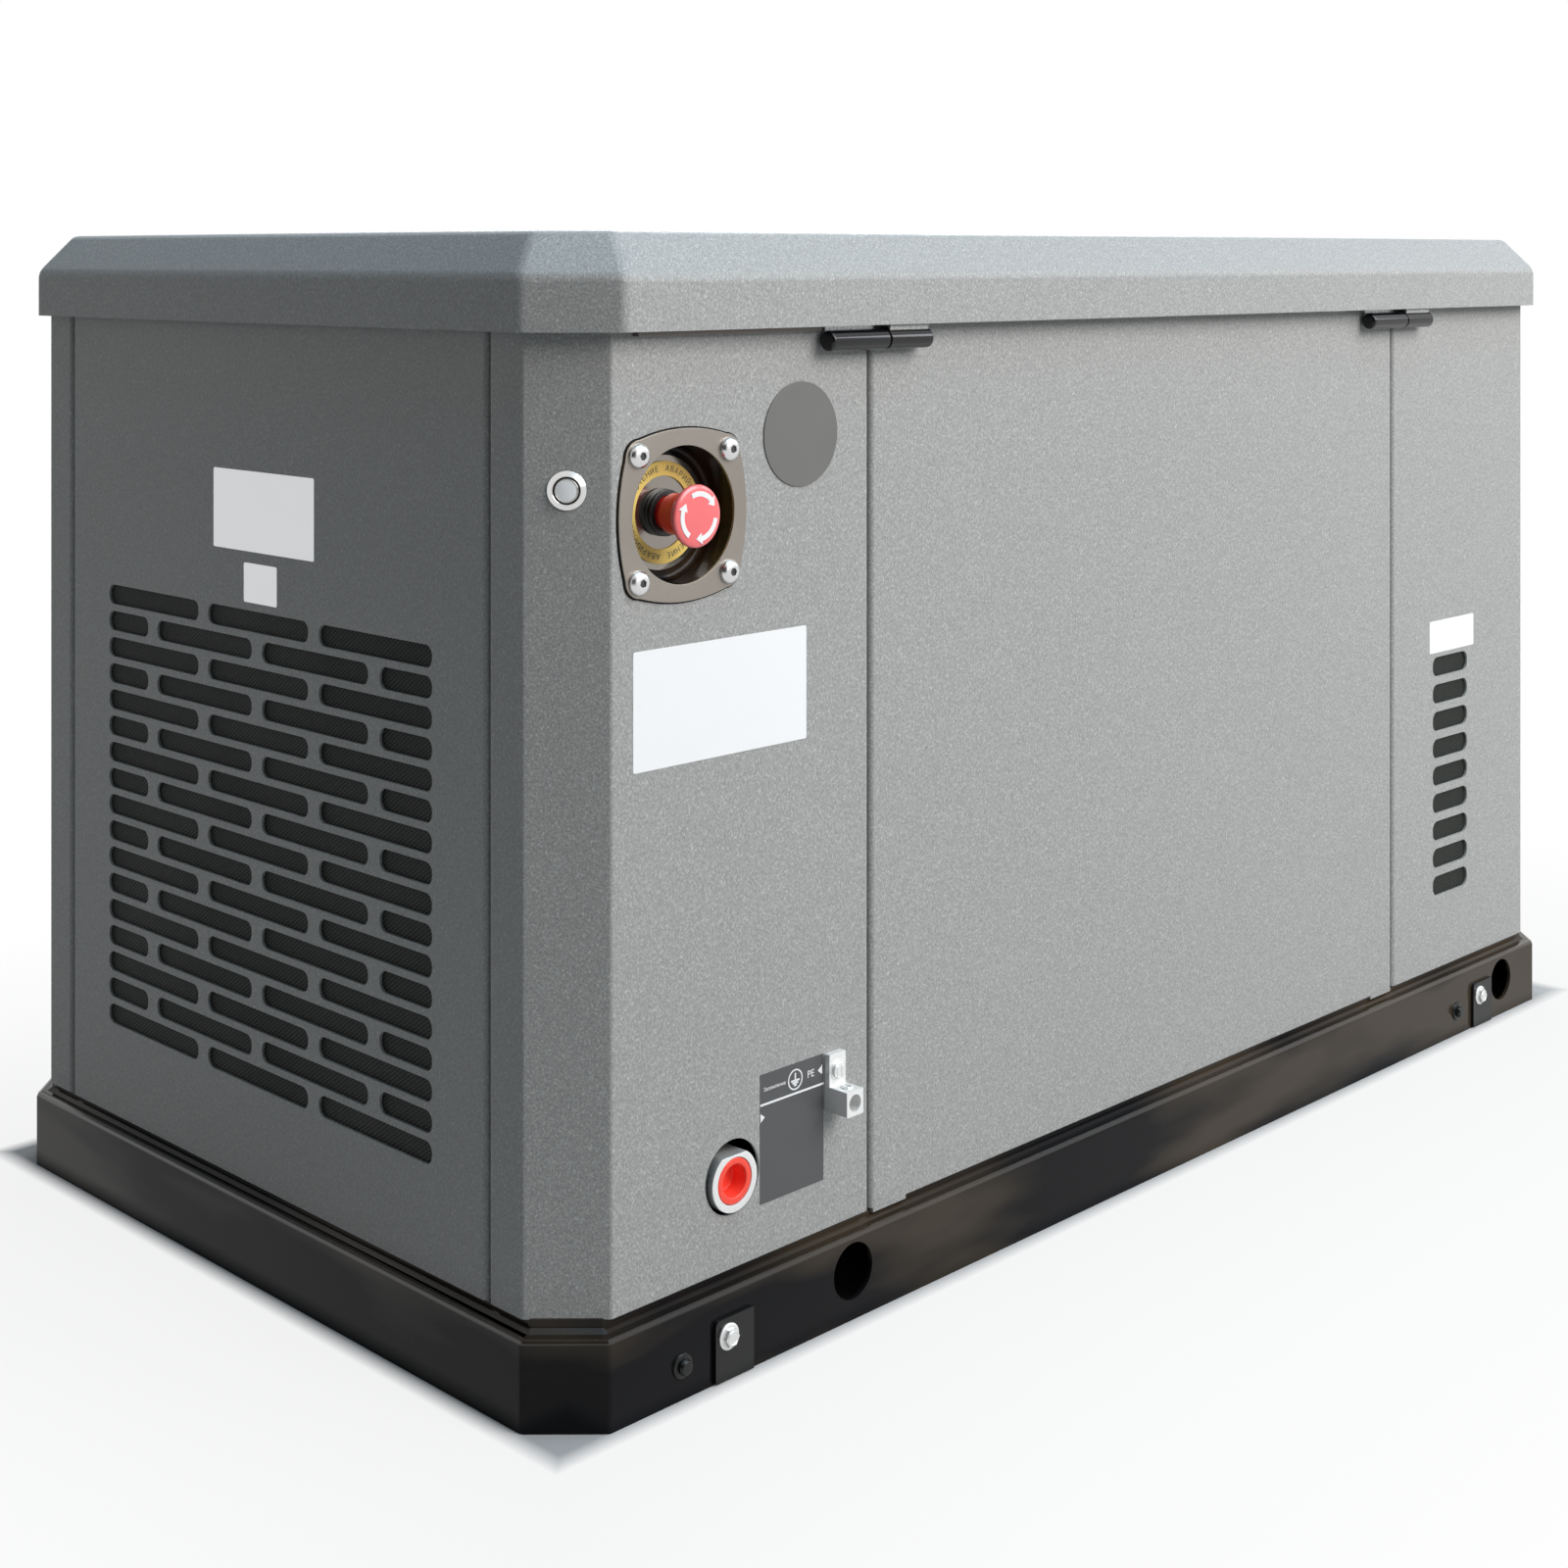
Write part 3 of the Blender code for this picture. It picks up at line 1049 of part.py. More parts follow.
def build_generator_set():
    """Rotor and crankshaft line, stator, end bracket, cooling fan and its housing."""
    line, along = (0, CRANK_Y, CRANK_Z), (1, 0, 0)
    stator_end = CRANKCASE_X[0] - GAP
    stator_start = stator_end - STATOR_LENGTH
    bracket_end = stator_start - GAP
    bracket_start = bracket_end - END_BRACKET_THICKNESS
    tube("alternator_stator", STATOR_RADIUS, STATOR_BORE, stator_start, stator_end, CAST_IRON, line, along,
         FINE_SEGMENTS)

    shaft_bore = clear_of(SHAFT_RADIUS, SHAFT_CLEARANCE, FINE_SEGMENTS)
    bracket = tube("alternator_end_bracket", STATOR_RADIUS, shaft_bore, bracket_start,
                   bracket_end, CAST_ALUMINIUM, line, along, FINE_SEGMENTS)
    feet = [((bracket_start, CRANK_Y + side * STATOR_RADIUS * 0.75 - 0.015, CRADLE_TOP + GAP),
             (bracket_end, CRANK_Y + side * STATOR_RADIUS * 0.75 + 0.015, CRANK_Z - STATOR_RADIUS / 2))
            for side in (-1, 1)]
    join(bracket, boxes("bracket_feet", feet))

    fan_foot = CRANKCASE_X[1] + GAP + BLOWER_WALL + 0.012
    shaft_end = fan_foot + FAN_BLADE_HEIGHT
    core_radius = STATOR_BORE - AIR_GAP
    core_start, core_end = stator_start + 0.02, stator_end - 0.02
    shaft_start = bracket_start - SHAFT_STUB
    turned("alternator_rotor", [(0, shaft_end), (SHAFT_RADIUS, shaft_end), (SHAFT_RADIUS, core_end),
                                (core_radius, core_end), (core_radius, core_start),
                                (SHAFT_RADIUS, core_start), (SHAFT_RADIUS, shaft_start), (0, shaft_start)],
           STAINLESS, line, along, FINE_SEGMENTS)

    hub = 2 * SHAFT_RADIUS
    fan = tube("flywheel_fan", FAN_RADIUS, shaft_bore, fan_foot, fan_foot + FAN_DISC, CAST_ALUMINIUM,
               line, along, FINE_SEGMENTS)
    join(fan, tube("fan_hub", hub, shaft_bore, fan_foot, fan_foot + FAN_BLADE_HEIGHT, at=line,
                   along=along, segments=FINE_SEGMENTS))
    blades = boxes("fan_blades", [((fan_foot + FAN_DISC / 2, -0.002, FAN_RADIUS - FAN_BLADE_LENGTH),
                                   (fan_foot + FAN_BLADE_HEIGHT, 0.002, FAN_RADIUS - 0.003))])
    spread_round(blades, FAN_BLADES)
    blades.location = line
    join(fan, blades)

    start = CRANKCASE_X[1] + GAP
    end = start + BLOWER_LENGTH
    wall = BLOWER_WALL
    turned("blower_housing", [(BLOWER_INLET_RADIUS, end), (BLOWER_RADIUS, end), (BLOWER_RADIUS, start),
                              (hub, start), (hub, start + wall), (BLOWER_RADIUS - wall, start + wall),
                              (BLOWER_RADIUS - wall, end - wall), (BLOWER_INLET_RADIUS, end - wall)],
           BLACK_STEEL, line, along, FINE_SEGMENTS, ring=True)


def spread_round(item, count):
    """Repeat a mesh about its own X axis."""
    shape = bmesh.new()
    shape.from_mesh(item.data)
    first = list(shape.verts) + list(shape.edges) + list(shape.faces)
    for index in range(1, count):
        copy = bmesh.ops.duplicate(shape, geom=first)
        points = [element for element in copy["geom"] if isinstance(element, bmesh.types.BMVert)]
        bmesh.ops.rotate(shape, verts=points, matrix=Matrix.Rotation(2 * pi * index / count, 3, "X"))
    shape.to_mesh(item.data)
    shape.free()


def build_engine_dress():
    """Cradle, starter, oil filter, dipstick, intake, fuel and exhaust pieces around the engine."""
    stator_start = CRANKCASE_X[0] - GAP - STATOR_LENGTH
    cradle = box("engine_cradle", (stator_start - END_BRACKET_THICKNESS - 0.010, CRANK_Y - 0.150, BODY_BOTTOM),
                 (CRANKCASE_X[1] + 0.020, CRANK_Y + 0.150, CRADLE_TOP), FRAME_PAINT)
    pads = []
    for x in (CRANKCASE_X[0] + 0.025, CRANKCASE_X[1] - 0.025):
        for side in (-1, 1):
            y = CRANK_Y + side * (CRANKCASE_HALF_WIDTH - 0.030)
            pads.append(((x - 0.020, y - 0.020, CRADLE_TOP - 0.005),
                         (x + 0.020, y + 0.020, CRANKCASE_Z[0] - GAP)))
    join(cradle, boxes("mount_pads", pads))

    front = CRANK_Y - CRANKCASE_HALF_WIDTH
    starter_radius = 0.035
    turned("starter_motor", [(0, 0.16), (0.030, 0.16), (starter_radius, 0.155), (starter_radius, 0.03),
                             (0.022, 0.025), (0.022, 0), (0, 0)], BLACK_STEEL,
           (CRANKCASE_X[1] - 0.002, front - starter_radius - GAP, 0.315), (-1, 0, 0))
    turned("oil_filter", [(0, 0.085), (0.034, 0.085), (0.038, 0.080), (0.038, 0.004), (0.034, 0), (0, 0)],
           FILTER_PAINT, (0.040, front - GAP, 0.190), (0, -1, 0))

    tube_x, tube_y = dipstick_place()
    turned("dipstick", [(0, DIPSTICK_SEAT + 0.022), (0.010, DIPSTICK_SEAT + 0.022), (0.012, DIPSTICK_SEAT + 0.018),
                        (0.012, DIPSTICK_SEAT + GAP), (DIPSTICK_RADIUS, DIPSTICK_SEAT + GAP),
                        (DIPSTICK_RADIUS, 0.220), (0, 0.220)], YELLOW_PLASTIC, (tube_x, tube_y, 0))

    half_head = HEAD_SIZE / 2
    left_head, _ = bank_place(-1, head_distance())
    right_head, _ = bank_place(1, head_distance())
    left_end = left_head - Vector((half_head + GAP, 0, 0))
    right_end = right_head - Vector((half_head + GAP, 0, 0))
    pipe("intake_manifold", MANIFOLD_RADIUS,
         [left_end, left_end - Vector((0.025, 0, 0)), (MANIFOLD_X, left_end.y + 0.045, MANIFOLD_Z),
          (MANIFOLD_X, CRANK_Y, MANIFOLD_Z), (MANIFOLD_X, right_end.y - 0.060, MANIFOLD_Z),
          (MANIFOLD_X + 0.050, right_end.y, right_end.z), right_end - Vector((0.025, 0, 0)), right_end],
         CAST_ALUMINIUM)

    half = MIXER_SIZE / 2
    mixer_foot = MANIFOLD_Z + MANIFOLD_RADIUS + GAP
    mixer = box("gas_mixer", (MANIFOLD_X - half, CRANK_Y - half, mixer_foot),
                (MANIFOLD_X + half, CRANK_Y + half, MIXER_TOP), CAST_ALUMINIUM)
    bevel(mixer, 0.003)
    lever_y = CRANK_Y - half - GAP
    lever = rod("throttle_lever", 0.006, 0, 0.004, ZINC, (MANIFOLD_X, lever_y, THROTTLE_Z), (0, -1, 0))
    join(lever, box("throttle_arm", (MANIFOLD_X - THROTTLE_ARM, lever_y - 0.003, THROTTLE_Z - 0.003),
                    (MANIFOLD_X, lever_y - 0.001, THROTTLE_Z + 0.003)))

    air_box = box("air_filter_box", (AIR_BOX_X[0], CRANK_Y - AIR_BOX_HALF_WIDTH, MIXER_TOP + GAP),
                  (AIR_BOX_X[1], CRANK_Y + AIR_BOX_HALF_WIDTH, AIR_BOX_TOP), BLACK_PLASTIC)
    bevel(air_box, 0.010)

    body = [(0, REGULATOR_HEIGHT), (0.014, REGULATOR_HEIGHT), (0.014, 0.150), (0.035, 0.146),
            (REGULATOR_RADIUS, 0.134), (REGULATOR_RADIUS, 0.114), (0.035, 0.102), (0.030, BODY_BOTTOM),
            (0, BODY_BOTTOM)]
    turned("gas_regulator", body, CAST_ALUMINIUM, (GAS_X, REGULATOR_Y, 0), segments=FINE_SEGMENTS)
    mixer_face = MANIFOLD_X - half - GAP
    hose_top = REGULATOR_HEIGHT + GAP
    pipe("gas_hose", HOSE_RADIUS,
         [(GAS_X, REGULATOR_Y, hose_top), (GAS_X, REGULATOR_Y, hose_top + 0.060), (-0.420, -0.195, 0.310),
          (-0.330, -0.165, 0.390), (-0.230, -0.080, 0.475), (-0.150, 0.005, THROTTLE_Z),
          (-0.110, CRANK_Y, THROTTLE_Z), (mixer_face, CRANK_Y, THROTTLE_Z)], HOSE_RUBBER)


def build_exhaust():
    """Muffler on its feet and one pipe from each head."""
    muffler = rod("muffler", MUFFLER_RADIUS, -MUFFLER_HALF_LENGTH, MUFFLER_HALF_LENGTH, EXHAUST_STEEL,
                  (MUFFLER_X, 0, MUFFLER_Z), (0, 1, 0), FINE_SEGMENTS)
    bevel(muffler, MUFFLER_EDGE, angle=60)
    feet = [((MUFFLER_X - 0.060, side * 0.150 - 0.015, BODY_BOTTOM),
             (MUFFLER_X + 0.060, side * 0.150 + 0.015, MUFFLER_Z - MUFFLER_RADIUS / 2)) for side in (-1, 1)]
    join(muffler, boxes("muffler_feet", feet))
    half_hollow = MUFFLER_HALF_LENGTH - MUFFLER_EDGE - MUFFLER_WALL
    cut(muffler, rod("muffler_hollow", MUFFLER_RADIUS - MUFFLER_WALL, -half_hollow, half_hollow,
                     at=(MUFFLER_X, 0, MUFFLER_Z), along=(0, 1, 0), segments=FINE_SEGMENTS),
        rod("muffler_outlet", MUFFLER_OUTLET_RADIUS, MUFFLER_RADIUS / 2, 2 * MUFFLER_RADIUS,
            at=(MUFFLER_X, 0, MUFFLER_Z), along=(1, 0, 0)))
    top = MUFFLER_Z + MUFFLER_RADIUS + GAP
    for name, side in (("left", -1), ("right", 1)):
        head, _ = bank_place(side, head_distance())
        start = head + Vector((HEAD_SIZE / 2 + GAP, 0, 0))
        pipe(f"exhaust_pipe_{name}", EXHAUST_RADIUS,
             [start, start + Vector((0.040, 0, 0)), (MUFFLER_X - 0.100, side * (EXHAUST_Y + 0.040), head.z - 0.010),
              (MUFFLER_X - 0.020, side * (EXHAUST_Y + 0.006), 0.430), (MUFFLER_X, side * EXHAUST_Y, 0.370),
              (MUFFLER_X, side * EXHAUST_Y, top)], EXHAUST_STEEL)


# ---------------------------------------------------------------- electrical


def build_electrical():
    """Battery, controller box and main breaker lever."""
    battery_end = BATTERY_X + BATTERY_LENGTH
    battery = box("battery", (BATTERY_X, BATTERY_Y[0], BODY_BOTTOM),
                  (battery_end, BATTERY_Y[1], BODY_BOTTOM + BATTERY_HEIGHT), BLACK_PLASTIC)
    bevel(battery, 0.004)
    for index, x in enumerate((BATTERY_X + 0.030, battery_end - 0.030)):
        join(battery, rod(f"terminal_{index}", 0.009, -0.010, 0.014,
                          at=(x, BATTERY_Y[0] + 0.030, BODY_BOTTOM + BATTERY_HEIGHT), segments=12))

    control = box("controller_box", (CONTROL_X, CONTROL_Y, CONTROL_Z[0]),
                  (CONTROL_X + CONTROL_LENGTH, CONTROL_Y + CONTROL_DEPTH, CONTROL_Z[1]), FRAME_PAINT)
    half_x, half_y, height = BREAKER_SIZE[0] / 2, BREAKER_SIZE[1] / 2, BREAKER_SIZE[2]
    top = CONTROL_Z[1] + height
    join(control, box("breaker_block", (BREAKER_X - half_x, BREAKER_Y - half_y, CONTROL_Z[1] - 0.010),
                      (BREAKER_X + half_x, BREAKER_Y + half_y, top)))
    pivot = top - LEVER_HALF_WIDTH
    pocket = LEVER_HALF_WIDTH + GAP
    cut(control, box("lever_pocket", (BREAKER_X - pocket, BREAKER_Y - 0.024, pivot - 0.010),
                     (BREAKER_X + pocket, BREAKER_Y + 0.024, top + 0.010)))
    lever = rod("breaker_lever", 0.007, -LEVER_HALF_WIDTH, LEVER_HALF_WIDTH, BLACK_PLASTIC,
                (BREAKER_X, BREAKER_Y, pivot), (1, 0, 0))
    join(lever, box("lever_grip", (BREAKER_X - LEVER_HALF_WIDTH, BREAKER_Y - 0.004, pivot),
                    (BREAKER_X + LEVER_HALF_WIDTH, BREAKER_Y + 0.004, pivot + 0.034)))


# ---------------------------------------------------------------- assembly


def build():
    """Build every piece of the generator."""
    build_base()
    build_brackets()
    build_inner_frame()
    build_panels()
    build_lid()
    for name, x in zip(("hinge_left", "hinge_right"), HINGE_CENTRES_X):
        build_hinge(name, x)
    build_lock("lid_lock_left", -LOCK_X)
    build_lock("lid_lock_right", LOCK_X)
    build_estop()
    build_push_button()
    build_front_fittings()
    build_crankcase()
    build_cylinder("cylinder_left", -1)
    build_cylinder("cylinder_right", 1)
    build_generator_set()
    build_engine_dress()
    build_exhaust()
    build_electrical()


build()
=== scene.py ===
"""Looks of the home standby generator: finishes, smooth sheet metal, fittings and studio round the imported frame."""

import logging
from dataclasses import dataclass, field
from enum import Enum
from math import cos, pi, radians, sin, sqrt, tan
from typing import Any, Callable, Iterable, Sequence

import bmesh
import bpy
from mathutils import Matrix, Vector
from mathutils.geometry import delaunay_2d_cdt


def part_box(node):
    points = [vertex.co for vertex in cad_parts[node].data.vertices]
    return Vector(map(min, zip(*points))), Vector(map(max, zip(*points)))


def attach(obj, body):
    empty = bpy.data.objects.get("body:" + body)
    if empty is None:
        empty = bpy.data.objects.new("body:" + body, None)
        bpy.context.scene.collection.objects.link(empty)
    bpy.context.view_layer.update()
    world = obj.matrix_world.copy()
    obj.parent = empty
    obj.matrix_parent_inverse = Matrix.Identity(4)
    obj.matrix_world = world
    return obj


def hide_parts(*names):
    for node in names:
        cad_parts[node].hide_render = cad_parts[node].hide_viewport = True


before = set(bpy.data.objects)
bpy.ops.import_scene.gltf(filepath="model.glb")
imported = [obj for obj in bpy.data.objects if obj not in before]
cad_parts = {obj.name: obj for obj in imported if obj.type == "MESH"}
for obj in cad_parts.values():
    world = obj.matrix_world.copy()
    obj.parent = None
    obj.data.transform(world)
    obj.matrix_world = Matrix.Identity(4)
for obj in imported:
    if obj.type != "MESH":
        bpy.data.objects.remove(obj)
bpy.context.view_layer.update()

LOG = logging.getLogger("standby_generator")

MERGE_DISTANCE = 0.000001
COPY_MERGE = 0.00001
FLAT_ANGLE = radians(0.5)
SMOOTH_ANGLE = radians(38)
COPY_SMOOTH_ANGLE = radians(34)
FOLD_STEPS = 5
HOLE_STEPS = 48
CORNER_STEPS = 6
ROUND_STEPS = 72
FLAT_SHARE = 0.99
SEAT_GAP = 0.0003
FILM_LIFT = 0.00002
PRINT_THICKNESS = 0.00012
STICKER_THICKNESS = 0.00025

Point2 = tuple[float, float]
Outline = list[Point2]
Colour = tuple[float, float, float]


class Side(Enum):
    """The four upright sides of the generator, by their outward direction."""

    FRONT = (0.0, -1.0, 0.0)
    REAR = (0.0, 1.0, 0.0)
    INTAKE = (-1.0, 0.0, 0.0)
    OUTLET = (1.0, 0.0, 0.0)


class Body(Enum):
    """The moving bodies of the frame."""

    ENCLOSURE = "enclosure"
    LID = "lid"
    LOCK_LEFT = "lid_lock_left"
    LOCK_RIGHT = "lid_lock_right"
    STOP_STEM = "estop_stem"
    STOP_BUTTON = "estop_button"
    PUSH_BUTTON = "push_button"
    GAS_PLUG = "gas_plug"
    ROTOR = "rotor"
    THROTTLE = "throttle"
    DIPSTICK = "oil_dipstick"
    BREAKER = "breaker"


# ---------------------------------------------------------------- shader graph


class Term:
    """One shader socket that takes part in Python arithmetic."""

    def __init__(self, graph: "Graph", socket: bpy.types.NodeSocket) -> None:
        """Keep the socket and the graph it belongs to."""
        self.graph = graph
        self.socket = socket

    def __add__(self, other: "Term | float") -> "Term":
        """Sum."""
        return self.graph.math("ADD", self, other)

    __radd__ = __add__

    def __sub__(self, other: "Term | float") -> "Term":
        """Difference."""
        return self.graph.math("SUBTRACT", self, other)

    def __rsub__(self, other: float) -> "Term":
        """Difference from a number."""
        return self.graph.math("SUBTRACT", other, self)

    def __mul__(self, other: "Term | float") -> "Term":
        """Product."""
        return self.graph.math("MULTIPLY", self, other)

    __rmul__ = __mul__

    def __truediv__(self, other: "Term | float") -> "Term":
        """Quotient."""
        return self.graph.math("DIVIDE", self, other)

    def __gt__(self, other: "Term | float") -> "Term":
        """1 where this term is the greater."""
        return self.graph.math("GREATER_THAN", self, other)

    def least(self, other: "Term | float") -> "Term":
        """The smaller of two terms."""
        return self.graph.math("MINIMUM", self, other)

    def most(self, other: "Term | float") -> "Term":
        """The greater of two terms."""
        return self.graph.math("MAXIMUM", self, other)

    def clamped(self) -> "Term":
        """The term held between 0 and 1."""
        return self.most(0.0).least(1.0)

    def to_nearest(self) -> "Term":
        """Distance to the nearest whole number."""
        return self.graph.math("PINGPONG", self, 0.5)


class Graph:
    """Builds one material's node tree."""

    def __init__(self, tree: bpy.types.NodeTree) -> None:
        """Start from an empty tree.

        Args:
            tree: the node tree of a material or world.
        """
        self.tree = tree
        tree.nodes.clear()

    def node(self, kind: str, settings: dict[str, Any] | None = None,
             inputs: dict[int | str, Any] | None = None) -> bpy.types.Node:
        """Add one node.

        Args:
            kind: the node's type name.
            settings: properties set before the sockets; stops gives a colour ramp's stops.
            inputs: socket index or name to a Term or a value.

        Returns:
            The new node.
        """
        node = self.tree.nodes.new(kind)
        for key, value in (settings or {}).items():
            if key == "stops":
                ramp = node.color_ramp
                while len(ramp.elements) < len(value):
                    ramp.elements.new(1.0)
                for element, (place, colour) in zip(ramp.elements, value):
                    element.position, element.color = place, (*colour, 1.0)
            else:
                setattr(node, key, value)
        for key, value in (inputs or {}).items():
            if isinstance(value, Term):
                self.tree.links.new(value.socket, node.inputs[key])
            else:
                node.inputs[key].default_value = value
        return node

    def term(self, node: bpy.types.Node, output: int | str = 0) -> Term:
        """One output of a node as a Term."""
        return Term(self, node.outputs[output])

    def math(self, operation: str, first: Term | float, second: Term | float) -> Term:
        """A Math node on two terms or numbers."""
        return self.term(self.node("ShaderNodeMath", {"operation": operation}, {0: first, 1: second}))

    def place(self, stretch: Sequence[float] = (1.0, 1.0, 1.0)) -> Term:
        """Object coordinates, stretched along each axis."""
        at = self.term(self.node("ShaderNodeTexCoord"), "Object")
        if tuple(stretch) == (1.0, 1.0, 1.0):
            return at
        return self.term(self.node("ShaderNodeMapping", None, {"Vector": at, "Scale": tuple(stretch)}))

    def axes(self, at: Term) -> tuple[Term, Term, Term]:
        """The three components of a vector."""
        split = self.node("ShaderNodeSeparateXYZ", None, {0: at})
        return self.term(split, 0), self.term(split, 1), self.term(split, 2)

    def noise(self, at: Term, scale: float, detail: float = 2.0) -> Term:
        """A noise pattern with the given number of cells in a metre, centred on 0.5."""
        return self.term(self.node("ShaderNodeTexNoise", None, {"Vector": at, "Scale": scale, "Detail": detail}))

    def blend(self, share: Term, first: Term | Colour, second: Term | Colour) -> Term:
        """Mix two colours by a share."""
        pair = [value if isinstance(value, Term) else (*value, 1.0) for value in (first, second)]
        return self.term(self.node("ShaderNodeMix", {"data_type": "RGBA"}, {0: share, 6: pair[0], 7: pair[1]}), 2)

    def shaded(self, colour: Term | Colour, light: Term) -> Term:
        """Scale a colour by a term."""
        return self.term(self.node("ShaderNodeVectorMath", {"operation": "SCALE"}, {0: colour, "Scale": light}))

    def relief(self, height: Term, depth: float) -> Term:
        """A Bump node whose height runs through the given depth in metres."""
        return self.term(self.node("ShaderNodeBump", None, {"Distance": depth, "Strength": 1.0, "Height": height}))


# ---------------------------------------------------------------- finishes


@dataclass(frozen=True)
class Finish:
    """A surface finish with a fine grain, broad patches and a relief.

    Args:
        name: the material's name.
        colour: linear base colour.
        roughness: mean roughness.
        metallic: 0 for paint and plastic, 1 for bare metal.
        coat: weight of a clear gloss layer.
        grain: fine noise cells in a metre.
        relief: depth of the grain in metres.
        mottle: share by which the grain varies the colour.
        haze: share by which the roughness varies.
        patch: broad noise cells in a metre.
        patchiness: share by which the patches vary the colour.
        tint: colour of broad patches laid over the base colour, which are painted reflections wherever a finish sets
            it, or None for the base colour.
        stretch: stretch of the grain along each axis, as on brushed metal.
        specular: the shader's specular level.
        coat_roughness: roughness of the clear layer.
    """

    name: str
    colour: Colour
    roughness: float = 0.5
    metallic: float = 0.0
    coat: float = 0.0
    grain: float = 600.0
    relief: float = 0.00002
    mottle: float = 0.08
    haze: float = 0.15
    patch: float = 9.0
    patchiness: float = 0.06
    tint: Colour | None = None
    stretch: tuple[float, float, float] = (1.0, 1.0, 1.0)
    specular: float = 0.5
    coat_roughness: float = 0.06

    def material(self) -> bpy.types.Material:
        """The finish's material, made once.

        Returns:
            The material.
        """
        made = bpy.data.materials.get(self.name)
        if made is None:
            made = bpy.data.materials.new(self.name)
            made.use_nodes = True
            made.diffuse_color = (*self.colour, 1.0)
            self.shade(Graph(made.node_tree))
        return made

    def shade(self, graph: Graph) -> None:
        """Lay the grain, patches and relief into the shader."""
        fine = graph.noise(graph.place(self.stretch), self.grain, 3.0)
        broad = graph.noise(graph.place(), self.patch, 2.0)
        light = 1.0 + (fine - 0.5) * (2.0 * self.mottle) + (broad - 0.5) * (2.0 * self.patchiness)
        colour = graph.shaded(self.colour, light)
        # Where a tint is set, its broad patches are painted reflections.
        if self.tint is not None:
            colour = graph.blend(((broad - 0.42) * 5.0).clamped(), colour, self.tint)
        rough = (self.roughness * (1.0 + (fine - 0.5) * self.haze + (broad - 0.5) * self.haze)).clamped()
        self.finish(graph, colour, rough, graph.relief(fine, self.relief))

    def finish(self, graph: Graph, colour: Term, rough: Term, normal: Term, coat: Term | None = None) -> None:
        """Add the shader and the output.

        Args:
            graph: the material's graph.
            colour: base colour.
            rough: roughness.
            normal: shading normal.
            coat: weight of the clear layer where it varies.
        """
        shader = graph.node("ShaderNodeBsdfPrincipled", None, {
            "Base Color": colour, "Roughness": rough, "Metallic": self.metallic,
            "Coat Weight": self.coat if coat is None else coat,
            "Coat Roughness": self.coat_roughness, "Specular IOR Level": self.specular, "Normal": normal})
        graph.node("ShaderNodeOutputMaterial", None, {0: graph.term(shader)})


@dataclass(frozen=True)
class PowderCoat(Finish):
    """Fine-textured powder coat: a leathery orange peel with light flecks on its crests."""

    fleck: float = 0.38
    weave: float = 520.0

    def shade(self, graph: Graph) -> None:
        """Lay two slanted grains over each other, with flecks where both are high."""
        at = graph.place()
        x, y, z = graph.axes(at)
        along = self.slanted(graph, x, y, z, 1.0)
        across = self.slanted(graph, x, y, z, -1.0)
        fine = graph.noise(at, self.grain, 2.0)
        broad = graph.noise(at, self.patch, 2.0)
        texture = (along + across + fine) / 3.0
        fleck = ((texture - 0.53) * 6.0).clamped()
        light = (1.0 + (texture - 0.5) * (3.2 * self.mottle) + (broad - 0.5) * (2.0 * self.patchiness)
                 + fleck * self.fleck)
        rough = (self.roughness - fleck * 0.10 + (broad - 0.5) * 0.06).clamped()
        self.finish(graph, graph.shaded(self.colour, light), rough, graph.relief(texture, self.relief))

    def slanted(self, graph: Graph, x: Term, y: Term, z: Term, lean: float) -> Term:
        """Noise drawn out along a slant of the upright faces."""
        run = x + y
        join = graph.node("ShaderNodeCombineXYZ", None, {0: (run + z * lean) * 0.4, 1: run * -lean + z, 2: x - y})
        return graph.noise(graph.term(join), self.weave, 2.0)


@dataclass(frozen=True)
class TrayEnamel(Finish):
    """Gloss black enamel with brown painted reflections in drawn-out patches on the walls; the clear layer is full on
    the rolled rim and thin on those patches.
    """

    rim_from: float = 0.0537
    rim_to: float = 0.0574
    wall_coat: float = 0.20

    def shade(self, graph: Graph) -> None:
        """Lay drawn-out patches of brown painted reflection on the walls and a full gloss on the rim."""
        at = graph.place()
        _, _, z = graph.axes(at)
        fine = graph.noise(at, self.grain, 2.0)
        broad = graph.noise(graph.place(self.stretch), self.patch, 3.0)
        # patch marks the brown painted reflections, which also take a thin clear layer.
        patch = ((broad - 0.46) * 7.0).clamped()
        rim = ((z - self.rim_from) * 900.0).clamped() * ((self.rim_to - z) * 3000.0).clamped()
        colour = graph.blend(patch, self.colour, self.tint)
        rough = (self.roughness + (fine - 0.5) * self.haze * 0.2).clamped()
        self.finish(graph, colour, rough, graph.relief(fine, self.relief), rim.most(patch * self.wall_coat))


@dataclass(frozen=True)
class ExpandedMesh(Finish):
    """Expanded metal seen as strands round diamond openings."""

    pitch_across: float = 0.0043
    pitch_up: float = 0.0031
    strand: float = 0.15
    # The diamond holes are painted near-black as painted shade of the dark inside behind the mesh.
    opening_shade: Colour = (0.006, 0.008, 0.007)

    def shade(self, graph: Graph) -> None:
        """Lay two crossing families of strands over near-black holes painted as shade of the inside, each strand
        lighter on one slant as painted light.
        """
        x, y, z = graph.axes(graph.place())
        across, up = (x + y) / self.pitch_across, z / self.pitch_up
        rising, falling = (across + up).to_nearest(), (across - up).to_nearest()
        edge = rising.least(falling)
        strand = (1.0 - (edge - self.strand * 0.5) / (self.strand * 0.9)).clamped()
        # Strands are lighter on one slant and darker on the other, as painted light.
        slant = ((falling - rising) * 0.8 + 0.5).clamped()
        metal = graph.shaded(self.colour, 0.55 + slant * 0.9)
        broad = graph.noise(graph.place(), self.patch, 2.0)
        colour = graph.blend(strand, self.opening_shade, metal)
        self.finish(graph, colour, (self.roughness + (broad - 0.5) * 0.2).clamped(),
                    graph.relief(strand, 0.0006))


